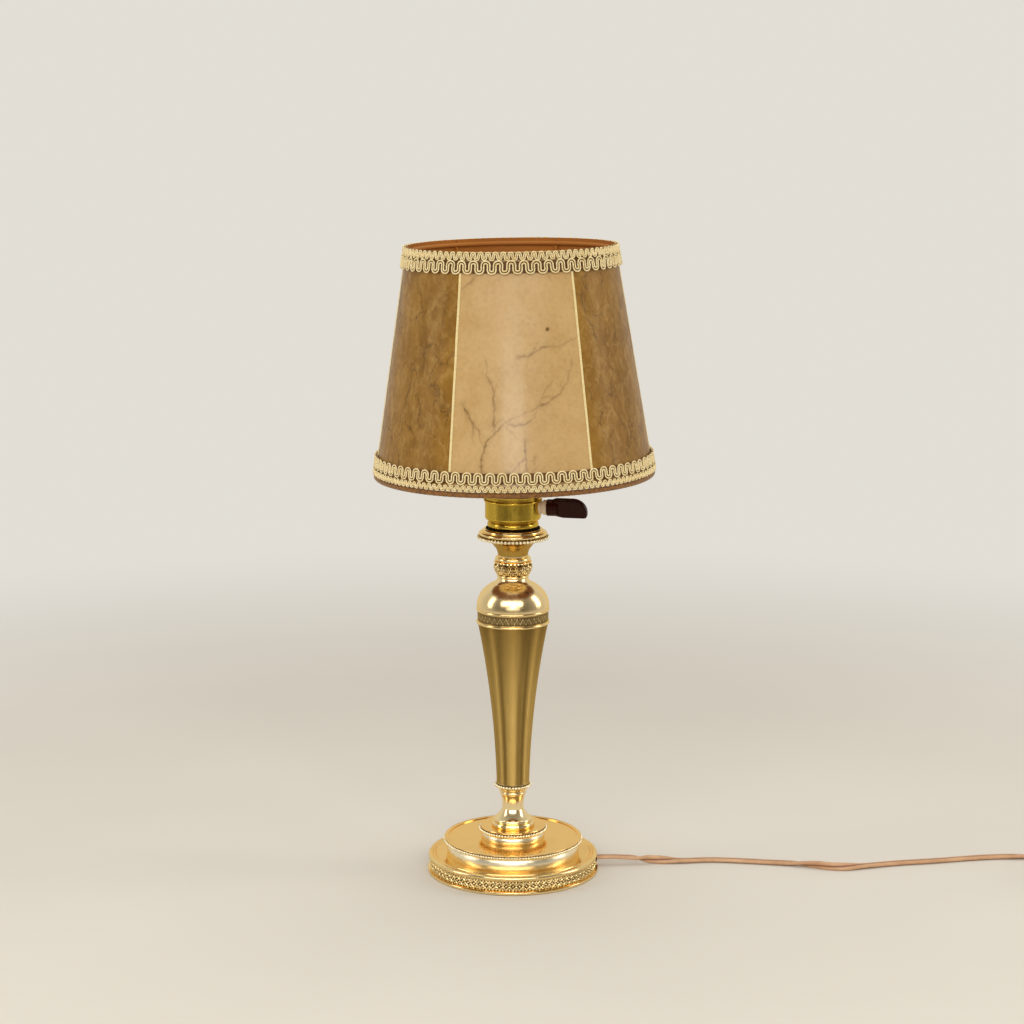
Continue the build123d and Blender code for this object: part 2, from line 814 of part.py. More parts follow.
def make_bulb():
    """Contact tip, insulator, threaded cap, glass, stem and filament."""
    parts["bulb_tip"] = turned(
        (0, bulb_level),
        (bulb_tip_radius, insulator_level, arc_share(90) / 2),
        (0, insulator_level),
    )
    parts["bulb_insulator"] = turned(
        (0, insulator_level),
        (insulator_bottom_radius, insulator_level),
        (insulator_top_radius, cap_level),
        (0, cap_level),
    )
    thread = []
    for turn in range(cap_thread_turns):
        level = cap_level + (turn + 1) * cap_thread_pitch
        thread.append((cap_root_radius, level, cap_thread_bulge_share))
    parts["bulb_cap"] = turned(
        (0, cap_level),
        (cap_root_radius, cap_level),
        *thread,
        (cap_root_radius, cap_top_level),
        (cap_root_radius - cap_wall, cap_top_level),
        (cap_root_radius - cap_wall, cap_level + cap_wall),
        (0, cap_level + cap_wall),
    )
    neck_low = cap_top_level - glass_neck_overlap
    neck_high = cap_top_level + glass_neck_rise
    turn_sin = math.sin(math.radians(glass_turn_angle))
    turn_cos = math.cos(math.radians(glass_turn_angle))
    crown_share = arc_share(90 - glass_turn_angle)
    inner = bulb_radius - bulb_glass_wall
    parts["bulb_glass"] = turned(
        (glass_neck_radius - bulb_glass_wall, neck_low),
        (glass_neck_radius, neck_low),
        (glass_neck_radius, neck_high),
        (bulb_radius * turn_cos, bulb_centre + bulb_radius * turn_sin, -glass_neck_bulge_share),
        (0, bulb_centre + bulb_radius, crown_share),
        (0, bulb_centre + inner),
        (inner * turn_cos, bulb_centre + inner * turn_sin, -crown_share),
        (glass_neck_radius - bulb_glass_wall, neck_high, glass_neck_bulge_share),
    )
    stem_top = neck_low + stem_height
    parts["bulb_stem"] = turned(
        (0, neck_low),
        (stem_flare_radius, neck_low),
        (stem_radius, neck_low + stem_flare_height, -arc_share(60)),
        (stem_radius, stem_top),
        (0, stem_top),
    )
    tip_level = stem_top + filament_rise
    wires = []
    for side in (1, -1):
        wires.append(
            rod_between(
                (side * filament_foot_offset, 0, stem_top + filament_wire_radius),
                (side * filament_spread, 0, tip_level),
                filament_wire_radius,
            )
        )
    coil = ThreePointArc(
        (-filament_spread, 0, tip_level),
        (0, 0, tip_level - filament_droop),
        (filament_spread, 0, tip_level),
    )
    filament = wires[0] + wires[1] + swept_tube(coil, filament_wire_radius)
    for side in (1, -1):
        filament += Pos(side * filament_spread, 0, tip_level) * Sphere(2 * filament_wire_radius)
    parts["bulb_filament"] = filament


def make_clip():
    """Two loops that hug the upper half of the bulb, joined by posts to a barrel along X."""
    loop_radius = clip_sphere * math.sin(math.radians(clip_loop_angle))
    loop_reach = clip_sphere * math.cos(math.radians(clip_loop_angle))
    top_angle = math.radians(clip_loop_elevation + clip_loop_angle)
    post_offset = clip_sphere * math.cos(top_angle)
    post_level = bulb_centre + clip_sphere * math.sin(top_angle)
    half = clip_barrel_length / 2
    clip = rod_between((-half, 0, pivot_level), (half, 0, pivot_level), clip_barrel_radius)
    for side in (1, -1):
        reach = loop_reach * math.cos(math.radians(clip_loop_elevation))
        rise = loop_reach * math.sin(math.radians(clip_loop_elevation))
        plane = Plane((side * reach, 0, bulb_centre + rise), z_dir=(side * reach, 0, rise))
        clip += plane * Torus(loop_radius, clip_wire_radius)
        post_foot = (side * post_offset, 0, post_level)
        post_head = (side * post_offset, 0, pivot_level)
        clip += rod_between(post_foot, post_head, clip_wire_radius)
    barrel_end = half + cut_overrun
    barrel_bore = arm_wire_radius + turn_gap
    clip -= rod_between((-barrel_end, 0, pivot_level), (barrel_end, 0, pivot_level), barrel_bore)
    parts["bulb_clip"] = leaned(clip)


def shade_radius(level):
    """Outer radius of the panels at a level, before the lean."""
    share = (level - shade_level) / shade_height
    return shade_bottom_radius + (shade_top_radius - shade_bottom_radius) * share


def leaned(shape):
    """Tip the clip or a piece of the shade about the middle of the bulb, the way the shade sits."""
    return Pos(0, 0, bulb_centre) * Rot(0, shade_lean, 0) * Pos(0, 0, -bulb_centre) * shape


def cone_strip(low, high, gap, thickness, angle=360.0, middle=0.0):
    """A strip along the shade's slope between two levels, centred on an angle from -Y towards +X."""
    face = outline(
        (shade_radius(low) + gap, low),
        (shade_radius(low) + gap + thickness, low),
        (shade_radius(high) + gap + thickness, high),
        (shade_radius(high) + gap, high),
    )
    return Rot(0, 0, middle - 90 - angle / 2) * revolve(face, Axis.Z, angle)


def make_shade():
    """Wire frame, six panels, seam tapes and four trims, tipped by the shade's lean."""
    sector = 360 / shade_panel_count
    wall_inset = panel_thickness + skin_gap

    top_level_ring = shade_top_level - top_ring_drop
    top_ring_radius = shade_radius(top_level_ring) - wall_inset - top_ring_wire_radius
    bottom_level_ring = shade_level + bottom_ring_wire_radius
    bottom_ring_radius = shade_radius(bottom_level_ring) - panel_thickness / 2
    top_ring = Torus(top_ring_radius, top_ring_wire_radius)
    parts["shade_top_ring"] = leaned(Pos(0, 0, top_level_ring) * top_ring)
    bottom_ring = Torus(bottom_ring_radius, bottom_ring_wire_radius)
    parts["shade_bottom_ring"] = leaned(Pos(0, 0, bottom_level_ring) * bottom_ring)

    ribs = []
    tapes = []
    rib_low = bottom_level_ring + bottom_ring_wire_radius + rest_gap
    rib_high = top_level_ring - top_ring_wire_radius - rest_gap
    rib_inset = wall_inset + rib_wire_radius
    panel_angle = sector - math.degrees(panel_seam_gap / shade_top_radius)
    tape_angle = math.degrees(2 * tape_width / (shade_bottom_radius + shade_top_radius))
    for index in range(shade_panel_count):
        middle = shade_turn + index * sector
        seam = middle + sector / 2
        panel = cone_strip(
            panel_level, shade_top_level, -panel_thickness, panel_thickness, panel_angle, middle
        )
        parts[f"shade_panel_{index + 1}"] = leaned(panel)
        tape = cone_strip(panel_level, shade_top_level, skin_gap, tape_thickness, tape_angle, seam)
        tapes.append(leaned(tape).solid())
        rib = rod_between(
            polar(shade_radius(rib_low) - rib_inset, seam - 90, rib_low),
            polar(shade_radius(rib_high) - rib_inset, seam - 90, rib_high),
            rib_wire_radius,
        )
        ribs.append(leaned(rib).solid())
    parts["shade_ribs"] = Compound(children=ribs)
    parts["shade_seam_tapes"] = Compound(children=tapes)

    trim_inset = 2 * skin_gap + tape_thickness
    top_braid_low = shade_top_level - top_braid_height
    top_gimp_high = top_braid_low - trim_gap
    bottom_braid_high = panel_level + bottom_braid_height
    bottom_gimp_low = bottom_braid_high + trim_gap
    trims = {
        "top_rim_braid": (top_braid_low, shade_top_level),
        "top_scroll_gimp": (top_gimp_high - top_gimp_height, top_gimp_high),
        "bottom_scroll_gimp": (bottom_gimp_low, bottom_gimp_low + bottom_gimp_height),
        "bottom_rim_braid": (panel_level, bottom_braid_high),
    }
    for name, (low, high) in trims.items():
        parts[name] = leaned(cone_strip(low, high, trim_inset, trim_thickness))

    arm_end = top_ring_radius - top_ring_wire_radius - arm_wire_radius
    arm_path = FilletPolyline(
        (-arm_end, 0, top_level_ring),
        (-arm_flat_length / 2, 0, pivot_level),
        (arm_flat_length / 2, 0, pivot_level),
        (arm_end, 0, top_level_ring),
        radius=arm_bend_radius,
    )
    parts["shade_arm"] = leaned(swept_tube(arm_path, arm_wire_radius))


def coil_point(turn):
    """Centre of the cord in the coil, this many turns in, and its direction."""
    middle = coil_turns / 2
    inward = turn <= middle
    depth = turn if inward else coil_turns - turn
    radius = coil_outer_radius - coil_turn_step * depth
    rate = 0 if abs(turn - middle) < 1 / coil_spans else (-coil_turn_step if inward else coil_turn_step)
    climb = min(max((turn - middle) / coil_climb_turns + 1 / 2, 0), 1)
    level = coil_level + coil_layer_step * (1 - math.cos(math.pi * climb)) / 2
    climb_rate = coil_layer_step * math.pi * math.sin(math.pi * climb) / (2 * coil_climb_turns)
    angle = math.pi / 2 - 2 * math.pi * turn
    outward = Vector(math.cos(angle), math.sin(angle), 0)
    along = Vector(math.sin(angle), -math.cos(angle), 0)
    point = Vector(*coil_centre, level) + outward * radius
    heading = outward * rate + along * (2 * math.pi * radius) + Vector(0, 0, climb_rate)
    return point, heading.normalized()


def biarc(start, start_heading, end, end_heading):
    """Two arcs that leave one point and reach another along the given headings."""
    chord = end - start
    both = start_heading + end_heading
    spread = 2 * (1 - start_heading.dot(end_heading))
    reach = chord.dot(both)
    handle = (math.sqrt(reach * reach + spread * chord.dot(chord)) - reach) / spread
    knee = (start + end + (start_heading - end_heading) * handle) / 2
    knee_heading = (end - end_heading * handle) - (start + start_heading * handle)
    return [
        Edge.make_tangent_arc(start, start_heading, knee),
        Edge.make_tangent_arc(knee, knee_heading, end),
    ]


def least_self_gap(path, apart):
    """Least distance between points of a path that are further apart along it than this."""
    count = int(path.length / coil_probe_step)
    points = [path @ (index / count) for index in range(count + 1)]
    skip = int(apart / coil_probe_step)
    least = path.length
    for index, point in enumerate(points):
        for other in points[index + skip:]:
            least = min(least, (other - point).length)
    return least


def make_cord():
    """Cord inside the lamp, its free stretch, its coil with a tie, and the plug."""
    exit_turn = Rot(0, 0, cord_exit_angle)
    bend = rod_level - exit_level
    inner_path = FilletPolyline(
        (exit_reach, 0, exit_level), (0, 0, exit_level), (0, 0, body_level), radius=bend
    )
    parts["inner_cord"] = exit_turn * swept_tube(inner_path, cord_radius)

    coil_start, coil_heading = coil_point(0)
    stub = polar(exit_reach, cord_exit_angle, exit_level)
    stub_end = polar(exit_reach + cord_stub, cord_exit_angle, exit_level)
    points = [stub, stub_end]
    points += [Vector(*point) for point in cord_route]
    points += [coil_start - coil_heading * coil_lead_in, coil_start]
    radii = []
    for before, corner, after in zip(points, points[1:], points[2:]):
        turn = math.radians((corner - before).get_angle(after - corner))
        shorter = min((corner - before).length, (after - corner).length)
        radii.append(cord_corner_share * shorter / math.tan(turn / 2))
    lead_path = FilletPolyline(*points, radius=radii)
    lead = swept_tube(lead_path, cord_radius)
    parts["cord_lead"] = lead
    print("lead radii", [round(radius, 1) for radius in radii])
    print("lead length", round(lead_path.length, 1), "volume over section times length",
          round(lead.volume / (math.pi * cord_radius ** 2 * lead_path.length), 4))

    nodes = [coil_point(coil_turns * index / coil_spans) for index in range(coil_spans + 1)]
    edges = []
    for (start, start_heading), (end, end_heading) in zip(nodes, nodes[1:]):
        edges += biarc(start, start_heading, end, end_heading)
    coil_end, tail_heading = nodes[-1]
    tail_end = coil_end + tail_heading * coil_tail
    edges.append(Edge.make_line(coil_end, tail_end))
    coil_path = Wire(edges)
    coil = swept_tube(coil_path, cord_radius)
    parts["cord_coil"] = coil
    gap = least_self_gap(coil_path, coil_outer_radius) - cord_width
    print("coil length", round(coil_path.length, 1), "volume over section times length",
          round(coil.volume / (math.pi * cord_radius ** 2 * coil_path.length), 4),
          "least gap to itself", round(gap, 2), "over", coil_least_gap)

    inner_side = coil_outer_radius - coil_turn_step * coil_turns / 2 - cord_radius - tie_gap
    outer_side = coil_outer_radius - coil_turn_step / 2 + cord_radius + tie_gap
    room = Rectangle(outer_side - inner_side, coil_layer_step + cord_width + 2 * tie_gap)
    room = fillet(room.vertices(), tie_corner_radius)
    band = offset(room, tie_thickness) - room
    tie = extrude(Plane.YZ * band, tie_width / 2, both=True)
    centre_x, centre_y = coil_centre
    parts["coil_tie"] = Pos(
        centre_x, centre_y - (inner_side + outer_side) / 2, coil_level + coil_layer_step / 2
    ) * tie

    heel = plug_heel_width / 2
    half = plug_width / 2
    shoulder = plug_length / 2
    plug_outline = Polyline(
        (-heel, 0),
        (heel, 0),
        (half, shoulder),
        (half, plug_length),
        (-half, plug_length),
        (-half, shoulder),
        close=True,
    )
    body = extrude(make_face(plug_outline), coil_top_level, both=True)
    body = fillet(body.edges().filter_by(Axis.Z), plug_edge_radius)
    body = fillet(body.faces().sort_by(Axis.Z)[-1].edges(), plug_edge_radius)
    blades = []
    for side in (1, -1):
        rear_set = (Align.CENTER, Align.MIN, Align.CENTER)
        blade = Box(blade_thickness, blade_length, blade_width, align=rear_set)
        blades.append(Pos(side * blade_spacing / 2, plug_length, 0) * blade)
    heading_angle = math.degrees(math.atan2(tail_heading.Y, tail_heading.X)) - 90
    place = Pos(tail_end) * Rot(0, 0, heading_angle)
    parts["plug_body"] = place * body
    parts["plug_blades"] = Compound(children=[(place * blade).solid() for blade in blades])


make_base()
make_stem()
make_rod()
make_socket()
make_key()
make_bulb()
make_clip()
make_shade()
make_cord()

os.makedirs("parts", exist_ok=True)
for name, shape in parts.items():
    export_step(shape, f"parts/{name}.step")
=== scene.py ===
import math
import random

import bmesh
import bpy
from mathutils import Matrix, Vector, noise


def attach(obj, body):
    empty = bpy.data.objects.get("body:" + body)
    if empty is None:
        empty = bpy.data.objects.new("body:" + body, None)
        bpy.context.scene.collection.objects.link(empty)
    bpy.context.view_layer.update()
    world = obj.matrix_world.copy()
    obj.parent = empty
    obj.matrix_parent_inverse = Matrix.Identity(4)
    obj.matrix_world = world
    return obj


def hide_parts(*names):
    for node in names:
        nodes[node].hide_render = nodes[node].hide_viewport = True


# Dresses the brass candlestick lamp: turned and beaded brass, a veined parchment shade with
# gimp and braid, a flat twin flex, and the studio.

MM = 0.001
TAU = 2 * math.pi
ARC_STEP = 7  # degrees of a bulge between two rows of points
LONG_SPAN = 3  # a straight span longer than this gets a row in its middle

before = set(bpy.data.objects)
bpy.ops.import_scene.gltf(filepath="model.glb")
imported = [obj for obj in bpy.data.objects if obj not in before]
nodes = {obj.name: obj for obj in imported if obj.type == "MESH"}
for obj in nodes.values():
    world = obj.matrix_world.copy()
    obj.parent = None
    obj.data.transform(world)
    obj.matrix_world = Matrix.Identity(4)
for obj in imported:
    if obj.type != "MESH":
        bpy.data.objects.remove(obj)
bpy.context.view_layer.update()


# Node and mesh helpers

class Look:
    """A material with a Principled shader and short ways to add nodes to it."""

    def __init__(self, name, **values):
        self.material = bpy.data.materials.new(name)
        self.material.use_nodes = True
        self.tree = self.material.node_tree
        self.shader = self.tree.nodes["Principled BSDF"]
        self.place = self.add("TexCoord").outputs["Object"]
        self.set(**values)

    def add(self, kind, inputs=None, **settings):
        node = self.tree.nodes.new("ShaderNode" + kind)
        for key, value in settings.items():
            setattr(node, key, value)
        for key, value in (inputs or {}).items():
            self.put(node, key, value)
        return node

    def put(self, node, key, value):
        socket = node.inputs[key]
        if isinstance(value, bpy.types.NodeSocket):
            self.tree.links.new(value, socket)
        else:
            socket.default_value = value

    def set(self, **values):
        for key, value in values.items():
            self.put(self.shader, key.replace("_", " "), value)

    def noise(self, scale, detail=3.0, rough=0.55, warp=0.0, place=None):
        return self.add("TexNoise", {"Vector": place or self.place, "Scale": scale, "Detail": detail,
                                     "Roughness": rough, "Distortion": warp}).outputs["Fac"]

    def stretch(self, x, y, z):
        return self.add("Mapping", {"Vector": self.place, "Scale": (x, y, z)}).outputs["Vector"]

    def direction(self):
        """The direction from the upright axis, so that a pattern runs along a turned piece."""
        flat = self.stretch(1, 1, 0)
        return self.add("VectorMath", {0: flat}, operation="NORMALIZE").outputs["Vector"]

    def attribute(self, name):
        return self.add("Attribute", attribute_name=name).outputs["Fac"]

    def ramp(self, value, *stops):
        """A curve through (position, value or colour) stops."""
        node = self.add("ValToRGB", {"Fac": value})
        elements = node.color_ramp.elements
        while len(elements) < len(stops):
            elements.new(0.5)
        for element, (position, shade) in zip(elements, stops):
            element.position = position
            element.color = (*shade, 1) if isinstance(shade, tuple) else (shade, shade, shade, 1)
        return node.outputs["Color"]

    def mix(self, amount, first, second):
        node = self.add("Mix", data_type="RGBA")
        for socket, value in ((0, amount), (6, first), (7, second)):
            self.put(node, socket, (*value, 1) if isinstance(value, tuple) else value)
        return node.outputs[2]

    def math(self, operation, first, second):
        return self.add("Math", {0: first, 1: second}, operation=operation).outputs[0]

    def bump(self, height, depth, strength=1.0):
        node = self.add("Bump", {"Height": height, "Distance": depth * MM, "Strength": strength})
        self.set(Normal=node.outputs["Normal"])


def linear(red, green, blue):
    """An sRGB colour of 0 to 255 as linear values."""
    def lift(value):
        value /= 255
        return value / 12.92 if value <= 0.04045 else ((value + 0.055) / 1.055) ** 2.4
    return lift(red), lift(green), lift(blue)


class Shape:
    """Vertices and faces in millimetres that become one object."""

    def __init__(self):
        self.points = []
        self.faces = []
        self.slots = []
        self.heights = {}

    def grid(self, rows, wrap_across=False, wrap_along=False, slot=0):
        """Quads over rows of points, each row as long as the next."""
        start = len(self.points)
        across = len(rows[0])
        for row in rows:
            self.points.extend(row)
        last_row = len(rows) if wrap_along else len(rows) - 1
        last_column = across if wrap_across else across - 1
        for row in range(last_row):
            after = (row + 1) % len(rows)
            for column in range(last_column):
                right = (column + 1) % across
                self.faces.append((start + row * across + column, start + row * across + right,
                                   start + after * across + right, start + after * across + column))
                self.slots.append(slot)
        return start

    def cap(self, start, count, flip=False):
        ring = list(range(start, start + count))
        self.faces.append(tuple(reversed(ring) if flip else ring))
        self.slots.append(0)

    def bead(self, centre, size):
        """A round bead in the second material."""
        source = bmesh.new()
        bmesh.ops.create_icosphere(source, subdivisions=2, radius=1)
        start = len(self.points)
        self.points.extend(Vector(centre) + vertex.co * size for vertex in source.verts)
        for face in source.faces:
            self.faces.append(tuple(start + vertex.index for vertex in face.verts))
            self.slots.append(1)
        source.free()

    def tube(self, path, sides, section, closed=False):
        """A tube along (point, across, up) stations; section gives its points in across and up."""
        rows = []
        for index, (point, across, up) in enumerate(path):
            rows.append([point + across * a + up * b for a, b in section(index)])
        start = self.grid(rows, wrap_across=True, wrap_along=closed)
        if not closed:
            self.cap(start, sides, flip=True)
            self.cap(start + (len(rows) - 1) * sides, sides)

    def build(self, name, body, *materials, replaces=(), slot=None, crease=40):
        mesh = bpy.data.meshes.new(name)
        mesh.from_pydata([Vector(point) * MM for point in self.points], [], self.faces)
        for polygon, index in zip(mesh.polygons, self.slots):
            polygon.material_index = index
            polygon.use_smooth = True
        for key, values in self.heights.items():
            layer = mesh.attributes.new(key, "FLOAT", "POINT")
            values = values + [1.0] * (len(self.points) - len(values))
            layer.data.foreach_set("value", values)
        source = bmesh.new()
        source.from_mesh(mesh)
        bmesh.ops.recalc_face_normals(source, faces=source.faces)
        source.to_mesh(mesh)
        source.free()
        mesh.set_sharp_from_angle(angle=math.radians(crease))
        piece = bpy.data.objects.new(name, mesh)
        bpy.context.scene.collection.objects.link(piece)
        for material in materials:
            mesh.materials.append(material)
        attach(piece, body)
        if replaces:
            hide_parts(*replaces)
        return piece


def around(radius, angle, level):
    return Vector((radius * math.cos(angle), radius * math.sin(angle), level))


def profile(stations):
    """Points (radius, height, outward, upward, share along a relief span) through lathe stations.

    A station is (radius, height, bulge share, relief rows) of the span that ends there, as in
    the solids.
    """
    points = []
    for index, station in enumerate(stations):
        before = stations[index - 1]
        r0, z0 = before[0], before[1]
        r1, z1 = station[0], station[1]
        bulge = station[2] if len(station) > 2 else 0
        rows = station[3] if len(station) > 3 else 0
        run_r, run_z = r1 - r0, z1 - z0
        length = math.hypot(run_r, run_z)
        if length < 1e-6:
            continue
        out_r, out_z = run_z / length, -run_r / length
        half = 2 * math.atan(2 * abs(bulge))
        steps = rows or max(1, math.ceil(math.degrees(2 * half) / ARC_STEP), 1 + int(length > LONG_SPAN))
        for step in range(1, steps + 1):
            share = step / steps
            if half:
                turn = half * (2 * share - 1)
                radius = length / (2 * math.sin(half))
                along = 0.5 + math.sin(turn) / (2 * math.sin(half))
                rise = radius * (math.cos(turn) - math.cos(half)) * math.copysign(1, bulge)
            else:
                along = share
                rise = 0.0
            points.append((r0 + run_r * along + out_r * rise, z0 + run_z * along + out_z * rise,
                           out_r, out_z, share if rows else None))
    return points


def lathe(shape, stations, segments=256, relief=None):
    """A closed turned form; relief(angle, share) raises the spans that have relief rows."""
    rows = []
    heights = []
    for radius, level, out_r, out_z, share in profile(stations):
        row = []
        for index in range(segments):
            angle = TAU * index / segments
            lift = 0.0
            if share is not None and relief:
                lift, tone = relief(angle, share)
            else:
                tone = 1.0
            row.append(around(radius + out_r * lift, angle, level + out_z * lift))
            heights.append(tone)
        rows.append(row)
    shape.grid(rows, wrap_across=True, wrap_along=True)
    shape.heights["relief"] = heights


def bead_hollow_tarnish_and_shade(angle, share):
    """Dull, dark metal in the hollow behind a row of beads: tarnish, and painted shade between the beads."""
    return 0.0, 0.1


def wall(shape, low, high, radius, slot):
    """Gives the faces between two levels and outside a radius their own material."""
    for number, face in enumerate(shape.faces):
        points = [shape.points[index] for index in face]
        inside = all(low <= point.z <= high and point.xy.length >= radius for point in points)
        if inside:
            shape.slots[number] = slot


def bead_row(shape, count, radius, level, size):
    for index in range(count):
        shape.bead(around(radius, TAU * (index + 0.5) / count, level), size)


def smooth_step(low, high, value):
    share = min(max((value - low) / (high - low), 0.0), 1.0)
    return share * share * (3 - 2 * share)


# Materials

def brass_look(name, color, tarnish, rough, spots, drawn, relief=False, streaks=0.0, painted_shade_above=None):
    """Turned brass: fine marks round the axis draw the highlights out along it.

    Streaks run up the piece, and the last argument is (low, high, share) of painted shade that grows with the
    level, darkening the piece towards the top.
    """
    look = Look(name, Metallic=1.0, Specular_Tint=(0.98, 0.83, 0.57, 1))
    look.set(Anisotropic=drawn, Anisotropic_Rotation=0.25)
    look.set(Tangent=look.add("Tangent", direction_type="RADIAL", axis="Z").outputs["Tangent"])
    cloud = look.noise(38, 4, 0.6)
    fine = look.noise(260, 3, 0.6)
    dirt_and_shade = look.ramp(cloud, (0.48, 0.0), (0.78, spots))
    if relief:
        depth = look.ramp(look.attribute("relief"), (0.15, 1.0), (0.8, 0.0))
        dirt_and_shade = look.math("MAXIMUM", depth, dirt_and_shade)
    if streaks:
        lines = look.noise(2.4, 4, 0.6, place=look.direction())
        dirt_and_shade = look.math("MAXIMUM", look.ramp(lines, (0.42, 0.0), (0.62, streaks)), dirt_and_shade)
    # Painted shade: darker towards the top, in place of the darker reflection there.
    if painted_shade_above:
        low, high, share = painted_shade_above
        level = look.add("SeparateXYZ", {0: look.place}).outputs["Z"]
        rise = look.add("MapRange", {"Value": level, "From Min": low * MM, "From Max": high * MM,
                                     "To Max": share})
        dirt_and_shade = look.math("MAXIMUM", rise.outputs["Result"], dirt_and_shade)
    # The mix towards the tarnish colour carries real tarnish, and painted shade in the bead hollows and
    # towards the top.
    look.set(Base_Color=look.mix(dirt_and_shade, color, tarnish))
    worn = look.ramp(fine, (0.3, rough * 0.85), (0.75, rough * 1.2))
    look.set(Roughness=look.math("ADD", worn, look.math("MULTIPLY", dirt_and_shade, 0.2)))
    look.bump(cloud, 0.006, 0.4)
    return look.material


# Dark tarnish colour; in the hollows behind bead rows it also paints the shade between the beads.
BLACKENED_AND_SHADE = (0.13, 0.072, 0.018)
# Brown tarnish colour, which also paints shade on the column and under the cup.
BROWNED_AND_SHADE = (0.24, 0.14, 0.03)
brass = brass_look("PolishedBrass", (0.95, 0.655, 0.28), BLACKENED_AND_SHADE, rough=0.15, spots=0.14, drawn=0.5,
                   relief=True)
stem_brass = brass_look("StemBrass", (0.94, 0.73, 0.36), BLACKENED_AND_SHADE, rough=0.15, spots=0.14, drawn=0.5,
                        relief=True)
# A darker copy of the brass for the cup's neck: painted shade under the cup.
shaded_neck_brass = brass_look("ShadedNeckBrass", (0.46, 0.28, 0.06), BROWNED_AND_SHADE, rough=0.22, spots=0.3, drawn=0.7)
# A paler copy of the brass for the beads: painted highlight.
lit_bead_brass = brass_look("LitBeadBrass", (1.0, 0.92, 0.66), (0.84, 0.70, 0.40), rough=0.26, spots=0.10, drawn=0.0)
brass_turned = brass_look("TurnedBrass", (0.94, 0.74, 0.40), (0.40, 0.26, 0.08), rough=0.20, spots=0.14,
                          drawn=0.5)
# A near-white copy of the brass for the drum walls: painted highlight.
lit_pale_brass = brass_look("LitPaleBrass", (0.97, 0.89, 0.66), (0.80, 0.66, 0.40), rough=0.32, spots=0.2, drawn=0.3)
spool_brass = brass_look("SpoolBrass", (0.95, 0.77, 0.44), (0.50, 0.32, 0.10), rough=0.15, spots=0.14,
                         drawn=0.4)
# The column's brass is a darker copy of the others, painted shade for its darker reflections, and darker
# still towards the top.
shaded_drawn_brass = brass_look("ShadedDrawnBrass", (0.60, 0.41, 0.13), BROWNED_AND_SHADE, rough=0.34, spots=0.3, drawn=0.97,
                         streaks=0.8, painted_shade_above=(95, 158, 0.75))
socket_brass = brass_look("SocketBrass", (0.74, 0.51, 0.07), (0.34, 0.21, 0.03), rough=0.18, spots=0.45,
                          drawn=0.7, streaks=0.6)


def plain_look(name, color, other, rough, scale=200, depth=0.03, metal=0.0, gloss=0.5):
    look = Look(name, Metallic=metal, Specular_IOR_Level=gloss)
    grain = look.noise(scale, 4, 0.6)
    cloud = look.noise(scale / 9, 3, 0.55)
    look.set(Base_Color=look.mix(look.ramp(cloud, (0.3, 0.0), (0.75, 1.0)), color, other))
    smooth = max(rough - 0.12, 0.04)
    dull = min(rough + 0.12, 1.0)
    look.set(Roughness=look.ramp(grain, (0.25, smooth), (0.8, dull)))
    look.bump(grain, depth)
    return look.material


steel = plain_look("PlatedSteel", (0.56, 0.55, 0.52), (0.42, 0.40, 0.36), 0.32, 260, 0.01, metal=1.0)
wire_look = plain_look("BrassedWire", (0.62, 0.44, 0.17), (0.34, 0.21, 0.07), 0.30, 240, 0.01, metal=1.0)
iron = plain_look("CastIron", (0.09, 0.09, 0.09), (0.05, 0.045, 0.04), 0.75, 150, 0.15)
felt = plain_look("GreenFelt", (0.030, 0.075, 0.035), (0.018, 0.045, 0.02), 0.95, 900, 0.25)
# Near black for the fibre washer and the cord bushing; on the washer it also paints the shade in the gap
# between the socket cap and the cup.
fibre_and_gap_shade_look = plain_look("BlackFibreAndGapShade", (0.006, 0.005, 0.004), (0.012, 0.010, 0.008), 0.85, 400, 0.05,
                         gloss=0.1)
liner_look = plain_look("LinerPaper", (0.45, 0.36, 0.22), (0.36, 0.27, 0.15), 0.9, 500, 0.05)
porcelain = plain_look("Porcelain", (0.74, 0.71, 0.64), (0.66, 0.62, 0.54), 0.35, 120, 0.02)
cap_look = plain_look("BulbCapMetal", (0.68, 0.67, 0.64), (0.52, 0.50, 0.46), 0.28, 300, 0.01, metal=1.0)
solder = plain_look("Solder", (0.50, 0.50, 0.50), (0.35, 0.35, 0.36), 0.4, 300, 0.03, metal=1.0)
black_glass = plain_look("BlackGlass", (0.010, 0.010, 0.013), (0.02, 0.02, 0.024), 0.15, 200, 0.005)
plug_look = plain_look("PlugPlastic", (0.10, 0.045, 0.022), (0.07, 0.03, 0.014), 0.35, 300, 0.02)
tie_look = plain_look("TieStrip", (0.03, 0.028, 0.026), (0.05, 0.046, 0.04), 0.6, 350, 0.04)
cream = plain_look("CreamCollar", linear(250, 236, 208), linear(232, 208, 170), 0.45, 160, 0.05)
bakelite = plain_look("Bakelite", (0.044, 0.007, 0.002), (0.024, 0.004, 0.001), 0.30, 220, 0.008,
                      gloss=0.12)
filament_look = plain_look("Tungsten", (0.30, 0.29, 0.28), (0.2, 0.19, 0.18), 0.5, 300, 0.005, metal=1.0)


def glass_look():
    look = Look("BulbGlass", Base_Color=(0.97, 0.98, 0.97, 1), Transmission_Weight=1.0, IOR=1.45)
    haze = look.noise(90, 3, 0.6)
    look.set(Roughness=look.ramp(haze, (0.35, 0.02), (0.8, 0.07)))
    look.bump(haze, 0.01)
    return look.material


glass = glass_look()


